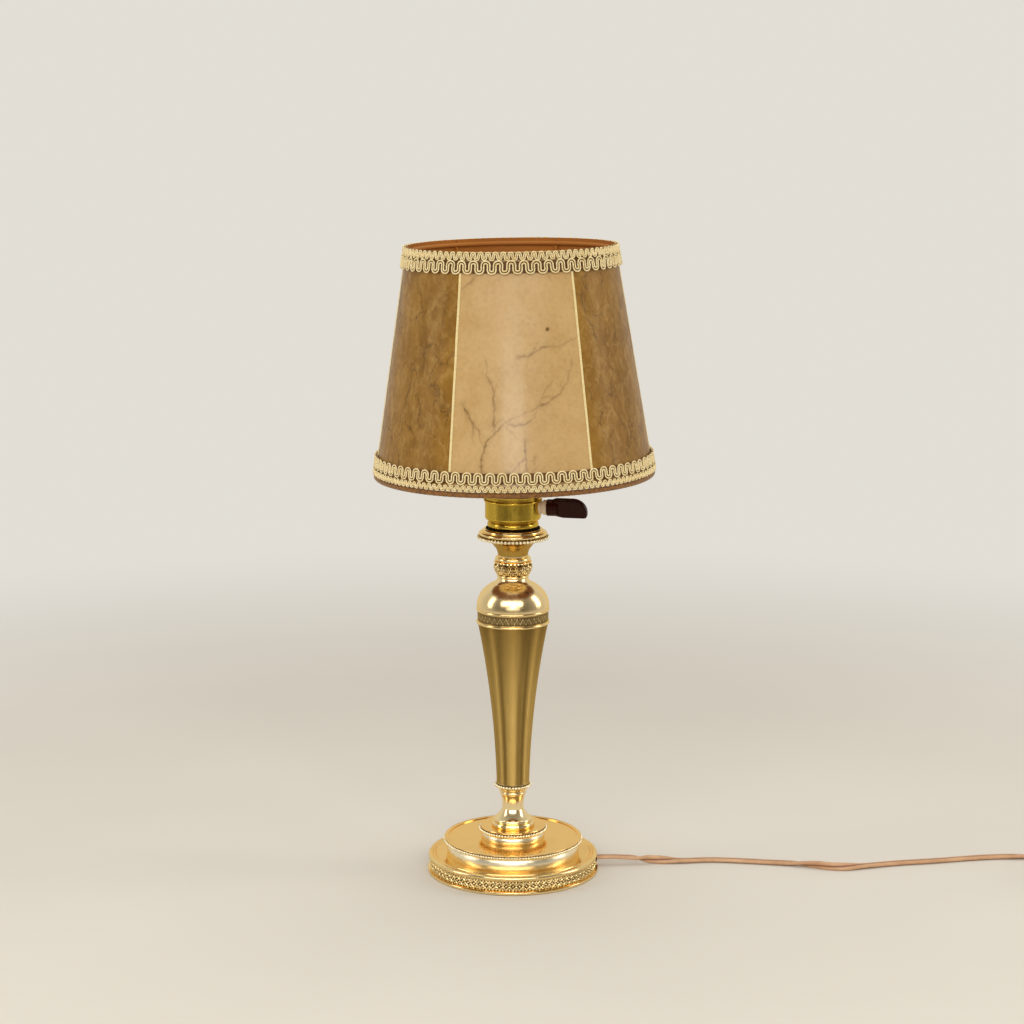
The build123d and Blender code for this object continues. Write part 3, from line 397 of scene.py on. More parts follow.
def parchment_look(name, light, dark, pale, crease, grain_share, crumple, gloss, coat):
    """Skin with cloudy tone, fine grain, dark veins and painted wrinkle shade from the mesh, and nets of pale
    folds and dark cracks.
    """
    look = Look(name, Specular_IOR_Level=gloss, Coat_Weight=coat, Coat_Roughness=0.2)
    cloud = look.noise(30, 6, 0.65, 0.5)
    patch = look.noise(150, 6, 0.7, 0.5, look.stretch(1.2, 1.2, 0.85))
    smudge = look.noise(150, 5, 0.62, 0.6, look.stretch(1.3, 1.3, 0.8))
    grain = look.noise(420, 4, 0.6)
    tone = look.mix(look.ramp(cloud, (0.36, 0.0), (0.66, 1.0)), light, dark)
    tone = look.mix(look.ramp(patch, (0.47, 0.0), (0.66, 0.28 + 0.22 * crumple)), tone, pale)
    tone = look.mix(look.ramp(smudge, (0.50, 0.0), (0.68, 0.20 + 0.24 * crumple)), tone, dark)
    tone = look.mix(look.ramp(grain, (0.48, 0.0), (0.72, grain_share)), tone, crease)
    wobble = look.add("TexNoise", {"Vector": look.place, "Scale": 90.0, "Detail": 4.0, "Roughness": 0.62})
    shift = look.add("VectorMath", {0: wobble.outputs["Color"], "Scale": 0.014}, operation="SCALE")
    upright = look.stretch(1.0, 1.0, 0.7)
    warped = look.add("VectorMath", {0: upright, 1: shift.outputs[0]}, operation="ADD").outputs[0]

    def net(scale, width, patches, low, high, share):
        cells = look.add("TexVoronoi", {"Vector": warped, "Scale": scale}, feature="DISTANCE_TO_EDGE")
        line = look.ramp(cells.outputs["Distance"], (0.0, 1.0), (width, 0.0))
        return look.math("MULTIPLY", line, look.ramp(look.noise(patches, 3, 0.6), (low, 0.0), (high, share)))

    fold = net(95.0, 0.09, 70, 0.50, 0.64, 0.55 * crumple)
    tone = look.mix(fold, tone, pale)
    crack = net(52.0, 0.035, 48, 0.46, 0.60, 0.8 * crumple)
    tone = look.mix(crack, tone, crease)
    worn = look.ramp(look.noise(170, 3, 0.6), (0.30, 0.25), (0.60, 0.85))
    # The veins' darkness, with their painted wrinkle shade.
    vein_and_shade = look.math("MULTIPLY", look.attribute("vein_and_shade"), worn)
    look.set(Base_Color=look.mix(vein_and_shade, tone, crease))
    look.set(Roughness=look.ramp(smudge, (0.3, 0.34), (0.75, 0.50)))
    look.set(Subsurface_Weight=0.08, Subsurface_Radius=(0.003, 0.0015, 0.001), Subsurface_Scale=0.3)
    height = look.math("MULTIPLY", patch, 0.6 + crumple)
    for layer, share in ((fold, 0.5), (vein_and_shade, -0.4), (grain, 0.25)):
        height = look.math("ADD", height, look.math("MULTIPLY", layer, share))
    look.bump(height, 0.25, 0.6)
    return look.material


light_skin = parchment_look(
    "ParchmentLight", linear(206, 171, 116), linear(195, 158, 101), linear(213, 183, 132),
    linear(112, 78, 34), grain_share=0.14, crumple=0.10, gloss=0.2, coat=0.5)
dark_skin = parchment_look(
    "ParchmentDark", linear(159, 117, 46), linear(131, 92, 30), linear(188, 150, 86), linear(74, 46, 14),
    grain_share=0.2, crumple=0.8, gloss=0.15, coat=0.06)
inner_skin = plain_look("ParchmentInside", linear(184, 116, 36), linear(150, 88, 22), 0.7, 70, 0.12)


def thread_look(name, pale, deep, scale):
    look = Look(name, Sheen_Weight=0.25, Sheen_Roughness=0.5, Sheen_Tint=(1.0, 0.86, 0.60, 1))
    yarn = look.noise(scale, 3, 0.6)
    patch = look.noise(scale / 22, 3, 0.6)
    tone = look.mix(look.ramp(yarn, (0.35, 1.0), (0.62, 0.0)), pale, deep)
    look.set(Base_Color=look.mix(look.ramp(patch, (0.5, 0.0), (0.8, 0.5)), tone, deep))
    look.set(Roughness=look.ramp(yarn, (0.3, 0.6), (0.8, 0.9)))
    look.bump(yarn, 0.12, 0.8)
    return look.material


gimp_look = thread_look("GimpCord", linear(255, 243, 196), linear(226, 192, 122), 1500)
tape_look = thread_look("SeamTape", linear(248, 232, 176), linear(230, 204, 140), 1200)
# Dark brown ground behind the braids, also painted shade behind the gimp.
braid_ground_and_shade_look = thread_look("BraidGroundAndShade", linear(112, 72, 18), linear(72, 45, 8), 900)
wrap_look = thread_look("WrappedEdge", linear(148, 98, 40), linear(98, 58, 18), 700)


def flex_look():
    look = Look("TwinFlex", Coat_Weight=0.08)
    # Painted shade: the flex is darker along the crease between its two cores.
    groove_shade = look.ramp(look.attribute("groove_shade"), (0.25, 1.0), (0.8, 0.0))
    grime = look.noise(70, 4, 0.6)
    soiled = look.ramp(grime, (0.35, 0.0), (0.75, 1.0))
    tone = look.mix(soiled, linear(214, 172, 132), linear(182, 136, 98))
    look.set(Base_Color=look.mix(groove_shade, tone, linear(140, 92, 62)))
    look.set(Roughness=look.ramp(grime, (0.3, 0.38), (0.8, 0.55)))
    look.bump(look.noise(500, 3, 0.5), 0.02)
    return look.material


flex = flex_look()


# The flat twin flex: its route is the solids' route, lying flat or on edge as the photo shows

FLEX_HALF_WIDTH = 2.6
FLEX_HALF_THICKNESS = 1.3
FLEX_OFF_TABLE = 0.05
COIL_CENTRE = Vector((376, -24, 0))
COIL_RADIUS = 41.5
COIL_PITCH = 5.75
COIL_LEVEL = 3.7
COIL_TURNS = 7.25
POINTS_PER_TURN = 16
# The flex's twist as (x, degrees): 0 lies flat, 90 stands on edge
ROLLS = [
    (60, 0), (76, 0), (87, 90), (106, 180), (172, 180), (196, 270), (222, 360), (312, 360), (352, 450),
]
COIL_START, COIL_ROLL = ROLLS[-1]

cord_points = [
    (52.16, 5.94, 5.35), (66.07, 7.53, 5.35), (86, 8.4, 3.0), (106, 9.6, 1.6), (125, 12.9, 1.5),
    (146, 10, 1.5), (166, 6.6, 1.5), (184, 2.4, 2.2), (203, -6.6, 2.6), (222, 0.2, 1.7), (242, 6.2, 1.5),
    (264, 9.6, 1.5), (286, 15, 1.5), (308, 19, 1.5), (331, 17, 2.2), (354.7, 17.0, 3.4),
]
ease = 1 / math.cos(math.pi / POINTS_PER_TURN)
for step in range(int(COIL_TURNS * POINTS_PER_TURN) + 1):
    turn = step / POINTS_PER_TURN
    depth = turn if turn <= COIL_TURNS / 2 else COIL_TURNS - turn
    climb = min(max((turn - COIL_TURNS / 2) / 0.5 + 0.5, 0), 1)
    level = COIL_LEVEL + COIL_PITCH * (1 - math.cos(math.pi * climb)) / 2
    spot = COIL_CENTRE + around((COIL_RADIUS - COIL_PITCH * depth) * ease, math.pi / 2 - TAU * turn, level)
    cord_points.append(tuple(spot))
for y in (-31, -44, -60):
    cord_points.append((COIL_CENTRE.x + COIL_RADIUS, y, COIL_LEVEL + COIL_PITCH))


def spline_points(points):
    """Points read from a smooth NURBS line with these control points."""
    curve = bpy.data.curves.new("CordLine", "CURVE")
    curve.dimensions = "3D"
    curve.resolution_u = 7
    line = curve.splines.new("NURBS")
    line.points.add(len(points) - 1)
    for target, point in zip(line.points, points):
        target.co = (*(Vector(point) * MM), 1)
    line.order_u = 3
    line.use_endpoint_u = True
    holder = bpy.data.objects.new("CordLine", curve)
    bpy.context.scene.collection.objects.link(holder)
    mesh = bpy.data.meshes.new_from_object(holder.evaluated_get(bpy.context.evaluated_depsgraph_get()))
    line_points = [vertex.co / MM for vertex in mesh.vertices]
    bpy.data.objects.remove(holder)
    bpy.data.curves.remove(curve)
    bpy.data.meshes.remove(mesh)
    return line_points


def roll_at(point):
    for (x0, r0), (x1, r1) in zip(ROLLS, ROLLS[1:]):
        if point.x < x1:
            return r0 + (r1 - r0) * smooth_step(x0, x1, point.x)
    return COIL_ROLL


def make_cord():
    line = spline_points(cord_points)
    sides = 20
    path = []
    coiling = False
    for index, point in enumerate(line):
        before = line[max(index - 1, 0)]
        after = line[min(index + 1, len(line) - 1)]
        along = (after - before).normalized()
        side = along.cross(Vector((0, 0, 1))).normalized()
        up = side.cross(along)
        coiling = coiling or point.x > COIL_START
        roll = math.radians(COIL_ROLL if coiling else roll_at(point))
        across = side * math.cos(roll) + up * math.sin(roll)
        path.append((point, across, up * math.cos(roll) - side * math.sin(roll)))

    outline = []
    groove_shades = []
    for index in range(sides):
        angle = TAU * index / sides
        across = math.cos(angle)
        waist = 1 - 0.42 * math.exp(-(across / 0.30) ** 2)
        half = FLEX_HALF_THICKNESS * math.sin(angle) * waist * (1 + 0.25 * abs(across) ** 2)
        outline.append((FLEX_HALF_WIDTH * across, half))
        # Painted shade along the crease between the cores, strongest at its middle.
        groove_shades.append(1 - math.exp(-(across / 0.26) ** 2))
    shape = Shape()
    shape.tube(path, sides, lambda index: outline)
    shape.points = [Vector((point.x, point.y, max(point.z, FLEX_OFF_TABLE))) for point in shape.points]
    shape.heights["groove_shade"] = groove_shades * len(path)
    cord = shape.build("flex_cord", "stand", flex, replaces=("cord_lead", "cord_coil"), slot="cord_sheath",
                       crease=80)


make_cord()


# Turned brass with its beads and relief

ROD_HOLE = 4.95
EXIT_ANGLE = math.radians(6.5)
EXIT_LEVEL = 5.35
EXIT_HOLE = 3.05
EXIT_DEPTH = 4
FOOT_BAND_RADIUS = 51.4
FOOT_CELLS = 78
BAND_WAVES = 38
KNOP_LEAVES = 16
KNOP_HOLES = 30


def foot_relief(angle, share):
    """A running lattice of small crossed leaves with a dot in each space, between two narrow edges."""
    away = abs((angle - EXIT_ANGLE + math.pi) % TAU - math.pi)
    room = smooth_step(0.075, 0.1, away)
    turn = angle * FOOT_CELLS / TAU
    rise = (share - 0.5) / 0.82
    height = smooth_step(0.91, 0.95, share) + smooth_step(0.08, 0.04, share)
    for side in (1, -1):
        across = (turn + side * rise + 0.5) % 1 - 0.5
        width = 0.09 + 0.15 * abs(math.sin(TAU * rise))
        leaf = smooth_step(0.0, 0.10, width - abs(across))
        height = max(height, leaf * (1 - 0.35 * math.exp(-(across / 0.05) ** 2)))
    for offset, level in ((0.5, 0.0), (0.0, 0.40), (0.0, -0.40)):
        across = (turn + offset + 0.5) % 1 - 0.5
        dome = 1 - (across / 0.17) ** 2 - ((rise - level) / 0.11) ** 2
        if dome > 0:
            height = max(height, math.sqrt(dome))
    return (0.55 * height - 0.25) * room, 0.15 + 0.80 * height * room + 0.6 * (1 - room)


def band_relief(angle, share):
    """A fine running scroll with a curl in each hollow."""
    phase = angle * BAND_WAVES
    wave = 0.5 + 0.22 * math.sin(phase)
    stem = math.exp(-((share - wave) / 0.10) ** 2)
    curl = 0.0
    for side in (1, -1):
        middle = (phase - side * math.pi / 2 + math.pi) % TAU - math.pi
        x = middle / 1.3
        y = (share - 0.5 + side * 0.17) / 0.24
        radius = math.hypot(x, y)
        if radius < 1:
            curl = max(curl, (0.5 + 0.5 * math.cos(radius * 8 + math.atan2(y, x))) * (1 - radius ** 4))
    edge = smooth_step(0.90, 0.98, share) + smooth_step(0.10, 0.02, share)
    height = max(stem, 0.8 * curl, edge)
    return 0.16 * height - 0.08, 0.18 + 0.32 * height


def knop_relief(angle, share):
    """Three rows of acanthus leaves with lobed edges and ribs, under a row of round drill holes."""
    best = 0.0
    for offset, low, high in ((0.0, -0.05, 0.50), (0.5, 0.10, 0.74), (0.0, 0.30, 0.90)):
        across = 2 * ((angle * KNOP_LEAVES / TAU + offset) % 1) - 1
        y = (share - low) / (high - low)
        if 0 <= y <= 1:
            width = (1 - y ** 2.4) * (0.80 + 0.24 * math.cos(y * 19))
            leaf = smooth_step(0.0, 0.25, width - abs(across))
            rib = 0.55 + 0.45 * math.cos(11 * (abs(across) - 0.7 * y))
            best = max(best, leaf * rib * (0.65 + 0.35 * y))
    across = 2 * ((angle * KNOP_HOLES / TAU) % 1) - 1
    hole = math.exp(-((across / 0.55) ** 2 + ((share - 0.93) / 0.045) ** 2) * 1.4)
    rim = smooth_step(0.87, 0.91, share) * (1 - hole)
    height = min(max(best, rim), 1.1)
    return 0.85 * height - 0.45, 0.14 + 0.95 * height


def make_foot():
    """The embossed foot, with the hole that the cord leaves by."""
    foot = Shape()
    lathe(foot, [
        (50.2, 0.4), (52.9, 0.4), (52.9, 1.9, 0.12), (FOOT_BAND_RADIUS, 1.9), (FOOT_BAND_RADIUS, 8.8, 0, 26),
        (FOOT_BAND_RADIUS, 11.4, 0.45), (50.0, 11.4), (48.0, 11.4, -0.375), (27, 11.4), (15, 18.4),
        (ROD_HOLE, 18.4), (ROD_HOLE, 17.2), (15, 17.2), (27, 10.2), (50.2, 10.2),
    ], 1350, foot_relief)
    exit_point = around(FOOT_BAND_RADIUS, EXIT_ANGLE, EXIT_LEVEL)
    axis = around(1, EXIT_ANGLE, 0)
    kept = []
    for face in foot.faces:
        middle = sum((foot.points[index] for index in face), Vector()) / len(face) - exit_point
        side = middle - axis * middle.dot(axis)
        if side.length > EXIT_HOLE or abs(middle.dot(axis)) > EXIT_DEPTH:
            kept.append(face)
    foot.faces = kept
    foot.slots = [0] * len(kept)
    wall(foot, 0.3, 11.5, 51.1, 1)
    foot.build("embossed_foot", "stand", brass, stem_brass, replaces=("base_foot",), slot="polished_brass")


def turned(name, node, stations, segments, relief, *materials, band=None, beads=None):
    """A turned piece; band is (low, high, radius, slot) of a wall and beads (count, radius, level, size)."""
    shape = Shape()
    lathe(shape, stations, segments, relief)
    if band:
        wall(shape, *band)
    if beads:
        bead_row(shape, *beads)
    shape.build(name, "stand", *materials, replaces=(node,), slot="polished_brass")


make_foot()
# The drum walls of both tiers take the near-white brass, a painted highlight.
turned("beaded_middle_tier", "base_middle_tier", [
    (39.4, 11.4), (40.6, 11.4), (39.2, 19.2, 0.15), (41.5, 19.2), (41.5, 20.85, 0, 2), (42.5, 21.0),
    (42.5, 21.5, 0.3), (40.2, 21.5), (40.2, 21), (ROD_HOLE, 21), (ROD_HOLE, 19.8), (38.0, 19.8),
], 256, bead_hollow_tarnish_and_shade, brass, lit_bead_brass, lit_pale_brass, band=(11.3, 19.3, 39.1, 2), beads=(152, 42.55, 20.0, 0.86))
turned("beaded_top_tier", "base_top_tier", [
    (18.1, 21), (19.3, 21), (18.1, 25.5, 0.18), (19.5, 25.5), (19.5, 27.7, 0, 2), (20, 27.7),
    (20, 28.6, 0.2), (ROD_HOLE, 28.6), (ROD_HOLE, 27.4), (16.9, 27.4),
], 192, bead_hollow_tarnish_and_shade, brass, lit_bead_brass, lit_pale_brass, band=(20.9, 25.6, 18.0, 2), beads=(68, 20.5, 26.7, 0.92))
turned("beaded_collar", "column_collar", [
    (ROD_HOLE, 53), (9.9, 53), (10.2, 53.6), (10.2, 55.8, 0, 2), (10.1, 56.4), (9.05, 56.4), (9.05, 60.4),
    (ROD_HOLE, 60.4),
], 128, bead_hollow_tarnish_and_shade, stem_brass, lit_bead_brass, beads=(34, 10.7, 54.7, 0.96))
turned("scroll_band", "column_band", [
    (20.4, 157.6), (21.9, 157.6), (21.9, 159.3, 0.38), (21.75, 159.3), (21.75, 165.5, 0, 26), (21.9, 165.5),
    (21.9, 167.2, 0.38), (20.4, 167.2),
], 780, band_relief, stem_brass)
turned("acanthus_knop", "leaf_knop", [
    (ROD_HOLE, 186), (9.3, 186), (9.3, 187.9, 0.3), (9.6, 187.9), (11.0, 196.3, 0.15, 44), (10.2, 196.3),
    (10.2, 199, 0.3), (ROD_HOLE, 199),
], 540, knop_relief, stem_brass)
# The cup's neck takes the darker brass, painted shade under the cup.
turned("beaded_candle_cup", "candle_cup", [
    (ROD_HOLE, 199), (9.3, 199), (9.3, 200.2), (12.0, 206, -0.1), (14.8, 208.6, -0.1), (20.1, 210, -0.05),
    (20.1, 212.4, 0, 2), (20.3, 212.4), (20.3, 214.6, 0.3), (18.6, 214.6), (16.7, 216.6, 0.3),
    (16.7, 214.6), (ROD_HOLE, 214.6),
], 256, bead_hollow_tarnish_and_shade, stem_brass, lit_bead_brass, shaded_neck_brass, band=(200.1, 208.7, 9.2, 2),
       beads=(58, 21.1, 211.2, 1.08))


# The shade: panels with veins, tapes, and trims that follow its slope

BULB_CENTRE = 306.96
SHADE_LEVEL = 249.26
SHADE_HEIGHT = 139.6
SHADE_TOP = SHADE_LEVEL + SHADE_HEIGHT
SHADE_BOTTOM_RADIUS = 84.4
SHADE_TOP_RADIUS = 62.4
SHADE_TURN = math.radians(3)
SHADE_LEAN = math.radians(-0.9)
LEAN = (Matrix.Translation((0, 0, BULB_CENTRE)) @ Matrix.Rotation(SHADE_LEAN, 4, "Y")
        @ Matrix.Translation((0, 0, -BULB_CENTRE)))
PANELS = 6
PANEL_ANGLE = TAU / PANELS
PANEL_LEVEL = 252.66
PANEL_GAP = 0.4
PANEL_THICKNESS = 0.6
TAPE_STEPS = 90
TAPE_SECTION = ((-0.78, 0.12), (-0.6, 0.44), (0, 0.56), (0.6, 0.44), (0.78, 0.12), (0, 0.08))
TRIM_OFF = 1.9
TRIM_UNEVEN = 0.8
RIBBON_INSET = 0.8
RIBBON_NEAR = 0.62
RIBBON_FAR = 0.95
RIBBON_STEPS = 192
WRAP_RADIUS = 1.65
WRAP_LAP = 0.15
WRAP_INSET = 0.35


def shade_radius(level):
    taper = SHADE_BOTTOM_RADIUS - SHADE_TOP_RADIUS
    return SHADE_BOTTOM_RADIUS - taper * (level - SHADE_LEVEL) / SHADE_HEIGHT


def on_shade(angle, level, off):
    """A point this far off the panels, at an angle from the front towards +X."""
    radius = shade_radius(level) + off
    return LEAN @ Vector((radius * math.sin(angle), -radius * math.cos(angle), level))


# Veins as (share across from -1 to 1, share up) points, listed for the front panel
front_veins = [
    [(-0.55, 0.06), (-0.53, 0.15), (-0.48, 0.21), (-0.37, 0.25), (-0.20, 0.29), (0.06, 0.33),
     (0.28, 0.355), (0.38, 0.42), (0.52, 0.46)],
    [(0.28, 0.355), (0.45, 0.375), (0.60, 0.40), (0.72, 0.45), (0.86, 0.53)],
    [(-0.20, 0.28), (0.05, 0.285), (0.20, 0.31), (0.28, 0.35)],
    [(-0.37, 0.26), (-0.36, 0.35), (-0.42, 0.44), (-0.50, 0.49), (-0.52, 0.56)],
    [(-0.85, 0.36), (-0.72, 0.31), (-0.60, 0.25), (-0.52, 0.17)],
    [(0.00, 0.565), (0.14, 0.575), (0.40, 0.595), (0.66, 0.605), (0.96, 0.635)],
    [(0.06, 0.22), (0.06, 0.13), (0.10, 0.08), (0.04, 0.0)],
    [(-0.20, 0.08), (0.05, 0.07), (0.22, 0.065), (0.20, 0.0)],
    [(-0.98, 0.84), (-0.80, 0.87), (-0.68, 0.895), (-0.60, 0.96)],
    [(0.20, 0.15), (0.15, 0.10)],
]
# Spots as (share across, share up, size, darkness)
front_spots = [
    (0.47, 0.675, 0.95, 2.2), (0.42, 0.955, 1.0, 0.5), (0.56, 0.89, 1.2, 0.4), (0.16, 0.70, 0.7, 0.3),
]


def grown_veins(seed, trunks):
    """Wandering lines with side branches, as a skin's veins run."""
    source = random.Random(seed)
    lines = []
    for _ in range(trunks):
        x = source.uniform(-0.95, 0.95)
        y = source.uniform(0.0, 0.9)
        heading = source.uniform(0.6, 2.5)
        line = [(x, y)]
        for _ in range(source.randint(3, 5)):
            heading += source.uniform(-0.55, 0.55)
            x += 0.13 * math.cos(heading)
            y += 0.055 * math.sin(heading)
            line.append((x, y))
            if source.random() < 0.3:
                away = heading + source.choice((-0.9, 0.9))
                lines.append([(x, y), (x + 0.16 * math.cos(away), y + 0.06 * math.sin(away)),
                              (x + 0.26 * math.cos(away + 0.3), y + 0.11 * math.sin(away + 0.3))])
        lines.append(line)
    return lines


def twigged(lines):
    """The same lines with short twigs off them."""
    source = random.Random(5)
    twigs = []
    for line in lines:
        for (ax, ay), (bx, by) in zip(line, line[1:]):
            if source.random() < 0.55:
                share = source.random()
                x, y = ax + (bx - ax) * share, ay + (by - ay) * share
                reach = source.uniform(0.05, 0.15)
                heading = math.atan2(2 * (by - ay), bx - ax) + source.choice((-0.8, 0.8))
                bent = heading * 0.8
                twigs.append([(x, y), (x + reach * math.cos(heading), y + 0.45 * reach * math.sin(heading)),
                              (x + 1.7 * reach * math.cos(bent), y + 0.8 * reach * math.sin(bent))])
    return lines + twigs


def line_distance(x, y, line):
    """Distance from a point to a polyline, and how far along its nearest place is."""
    best = 1e9
    share = 0.0
    for index, ((ax, ay), (bx, by)) in enumerate(zip(line, line[1:])):
        dx, dy = bx - ax, by - ay
        along = min(max(((x - ax) * dx + (y - ay) * dy) / (dx * dx + dy * dy + 1e-12), 0), 1)
        away = math.hypot(x - ax - dx * along, y - ay - dy * along)
        if away < best:
            best = away
            share = (index + along) / (len(line) - 1)
    return best, share


def vein_and_shade_field(lines, spots, columns, rows, half_low, half_high, thick):
    """Darkness of each grid point from the veins near it, with painted wrinkle shade in a faint halo beside
    the veins, in rows from the bottom up.
    """
    height = SHADE_TOP - PANEL_LEVEL
    field = [[0.0] * columns for _ in range(rows)]

    def flat(x, y):
        return x * (half_low + (half_high - half_low) * y), y * height

    for number, line in enumerate(lines):
        track = [flat(x, y) for x, y in line]
        low = min(point[1] for point in track) - 2
        high = max(point[1] for point in track) + 2
        left = min(point[0] for point in track) - 3
        right = max(point[0] for point in track) + 3
        length = sum(math.dist(first, second) for first, second in zip(track, track[1:]))
        force = min(1.0, 0.3 + length / 45)
        for row in range(rows):
            y = row / (rows - 1)
            if not low <= y * height <= high:
                continue
            for column in range(columns):
                px, py = flat(2 * column / (columns - 1) - 1, y)
                if not left <= px <= right:
                    continue
                shake = Vector((px * 0.16, py * 0.16, number * 3.1))
                small = shake * 3.6
                px += 1.3 * noise.noise(shake) + 0.8 * noise.noise(small)
                py += (1.3 * noise.noise(shake + Vector((9, 4, 0)))
                       + 0.8 * noise.noise(small + Vector((5, 2, 0))))
                away, share = line_distance(px, py, track)
                width = thick * (1 - 0.4 * share)
                dark = math.exp(-(away / width) ** 2) * (0.8 - 0.42 * share) * min(1, 8 * share + 0.2)
                # Painted shade: a broad faint halo beside the line, as the shade of its wrinkle.
                dark = force * (dark + 0.22 * math.exp(-(away / 2.1) ** 2) * (1 - share))
                field[row][column] = max(field[row][column], dark)
    for x, y, size, dark in spots:
        cx, cy = flat(x, y)
        for row in range(rows):
            for column in range(columns):
                px, py = flat(2 * column / (columns - 1) - 1, row / (rows - 1))
                away = math.hypot(px - cx, py - cy)
                if away < 3 * size:
                    field[row][column] = max(field[row][column], dark * math.exp(-(away / size) ** 2))
    return field


def make_panels():
    half_angle = (PANEL_ANGLE - PANEL_GAP / SHADE_TOP_RADIUS) / 2
    half_low = SHADE_BOTTOM_RADIUS * half_angle
    half_high = SHADE_TOP_RADIUS * half_angle
    for index in range(PANELS):
        light = index % 2 == 0
        if index == 0:
            columns, rows, thick = 200, 300, 0.62
            lines, spots = twigged(front_veins), front_spots
        else:
            columns, rows, thick = 120, 190, 0.6 if light else 0.75
            lines, spots = grown_veins(20 + index, 10), ()
        middle = SHADE_TURN + index * PANEL_ANGLE
        ripple = 0.25 if light else 1.0
        field = vein_and_shade_field(lines, spots, columns, rows, half_low, half_high, thick)
        shape = Shape()
        outer = []
        inner = []
        for row in range(rows):
            level = PANEL_LEVEL + (SHADE_TOP - PANEL_LEVEL) * row / (rows - 1)
            calm = min(12 * row, 12 * (rows - 1 - row), rows) / rows
            outer_row = []
            inner_row = []
            for column in range(columns):
                angle = middle + half_angle * (2 * column / (columns - 1) - 1)
                still = calm * min(9 * column, 9 * (columns - 1 - column), columns) / columns
                spot = on_shade(angle, level, 0)
                wave = ripple * (0.30 * noise.noise(spot * 0.045) + 0.12 * noise.noise(spot * 0.16))
                outer_row.append(on_shade(angle, level, wave * still))
                inner_row.append(on_shade(angle, level, wave * still - PANEL_THICKNESS))
            outer.append(outer_row)
            inner.append(inner_row)
        shape.grid(outer)
        shape.heights["vein_and_shade"] = [value for row in field for value in row] + [0.0] * (columns * rows)
        shape.grid(inner, slot=1)
        far = columns * rows
        rim = (list(range(columns))
               + [row * columns + columns - 1 for row in range(1, rows)]
               + [(rows - 1) * columns + column for column in range(columns - 2, -1, -1)]
               + [row * columns for row in range(rows - 2, 0, -1)])
        for first, second in zip(rim, rim[1:] + rim[:1]):
            shape.faces.append((first, second, second + far, first + far))
            shape.slots.append(1)
        skin = light_skin if light else dark_skin
        slot = "parchment_light" if light else "parchment_dark"
        shape.build(f"parchment_panel_{index + 1}", "shade", skin, inner_skin,
                    replaces=(f"shade_panel_{index + 1}",), slot=slot)


def make_tapes():
    shape = Shape()
    sides = len(TAPE_SECTION)
    for index in range(PANELS):
        seam = SHADE_TURN + (index + 0.5) * PANEL_ANGLE
        rows = []
        for step in range(TAPE_STEPS + 1):
            level = PANEL_LEVEL + (SHADE_TOP - PANEL_LEVEL) * step / TAPE_STEPS
            wander = 0.12 * noise.noise(Vector((index * 7.0, level * 0.06, 0)))
            rows.append([on_shade(seam + (across + wander) / shade_radius(level), level, off)
                         for across, off in TAPE_SECTION])
        start = shape.grid(rows, wrap_across=True)
        shape.cap(start, sides, flip=True)
        shape.cap(start + TAPE_STEPS * sides, sides)
    shape.build("seam_tapes", "shade", tape_look, replaces=("shade_seam_tapes",), slot="seam_tape",
                crease=60)


def wave_cords(shape, waves, low, high, radius, spread, swing, per_wave):
    """Two cords side by side that wave round the shade between two levels."""
    middle = (low + high) / 2
    reach = (high - low) / 2 - spread - radius
    count = waves * per_wave
    track = []
    for index in range(count):
        share = index / count
        phase = TAU * waves * share
        place = Vector((math.cos(TAU * share) * waves * 0.4, math.sin(TAU * share) * waves * 0.4, low))
        loose = TRIM_UNEVEN * noise.noise(place)
        angle = TAU * share + (TAU / waves) * (swing * math.sin(2 * phase) + 0.06 * loose)
        rise = math.copysign(abs(math.cos(phase)) ** 0.8, math.cos(phase))
        track.append((angle, middle + reach * rise + 0.35 * loose, TRIM_OFF + 0.25 * loose))
    spots = [on_shade(*place) for place in track]
    outs = [on_shade(a, z, off + 1) - on_shade(a, z, off) for a, z, off in track]
    sides = 6
    section = []
    for side in range(sides):
        turn = TAU * side / sides
        section.append((radius * math.cos(turn), radius * 0.9 * math.sin(turn)))
    for side in (1, -1):
        path = []
        for index in range(count):
            along = (spots[(index + 1) % count] - spots[index - 1]).normalized()
            out = outs[index].normalized()
            across = along.cross(out).normalized()
            path.append((spots[index] + across * spread * side, across, out))
        shape.tube(path, sides, lambda index: section, closed=True)


def backing(shape, low, high):
    """A thin dark ribbon round the shade behind a braid, in the second material: the braid's ground, and
    behind the gimp painted shade between its cords.
    """
    rows = []
    for index in range(RIBBON_STEPS):
        angle = TAU * index / RIBBON_STEPS
        rows.append([on_shade(angle, low, RIBBON_NEAR), on_shade(angle, low, RIBBON_FAR),
                     on_shade(angle, high, RIBBON_FAR), on_shade(angle, high, RIBBON_NEAR)])
    shape.grid(rows, wrap_across=True, wrap_along=True, slot=1)


def make_trims():
    """A trim's row: name, node, waves, low, high, cord radius, spread, swing, steps per wave."""
    top_braid_low = SHADE_TOP - 4.9
    top_gimp_high = top_braid_low - 0.9
    low_braid_high = PANEL_LEVEL + 4.1
    low_gimp_low = low_braid_high + 0.9
    trims = [
        ("top_loop_braid", "top_rim_braid",
         92, top_braid_low - 0.2, SHADE_TOP + 0.3, 0.40, 0.50, 0.05, 16),
        ("top_wave_gimp", "top_scroll_gimp",
         56, top_gimp_high - 7.0, top_gimp_high + 1.2, 0.46, 0.74, 0.088, 24),
        ("bottom_wave_gimp", "bottom_scroll_gimp",
         76, low_gimp_low - 0.9, low_gimp_low + 6.7, 0.46, 0.72, 0.084, 24),
        ("bottom_loop_braid", "bottom_rim_braid",
         142, PANEL_LEVEL, low_braid_high, 0.38, 0.46, 0.04, 14),
    ]
    for name, node, waves, low, high, *cord in trims:
        shape = Shape()
        wave_cords(shape, waves, low, high, *cord)
        backing(shape, low + RIBBON_INSET, high - RIBBON_INSET)
        shape.build(name, "shade", gimp_look, braid_ground_and_shade_look, replaces=(node,), slot="trim", crease=80)


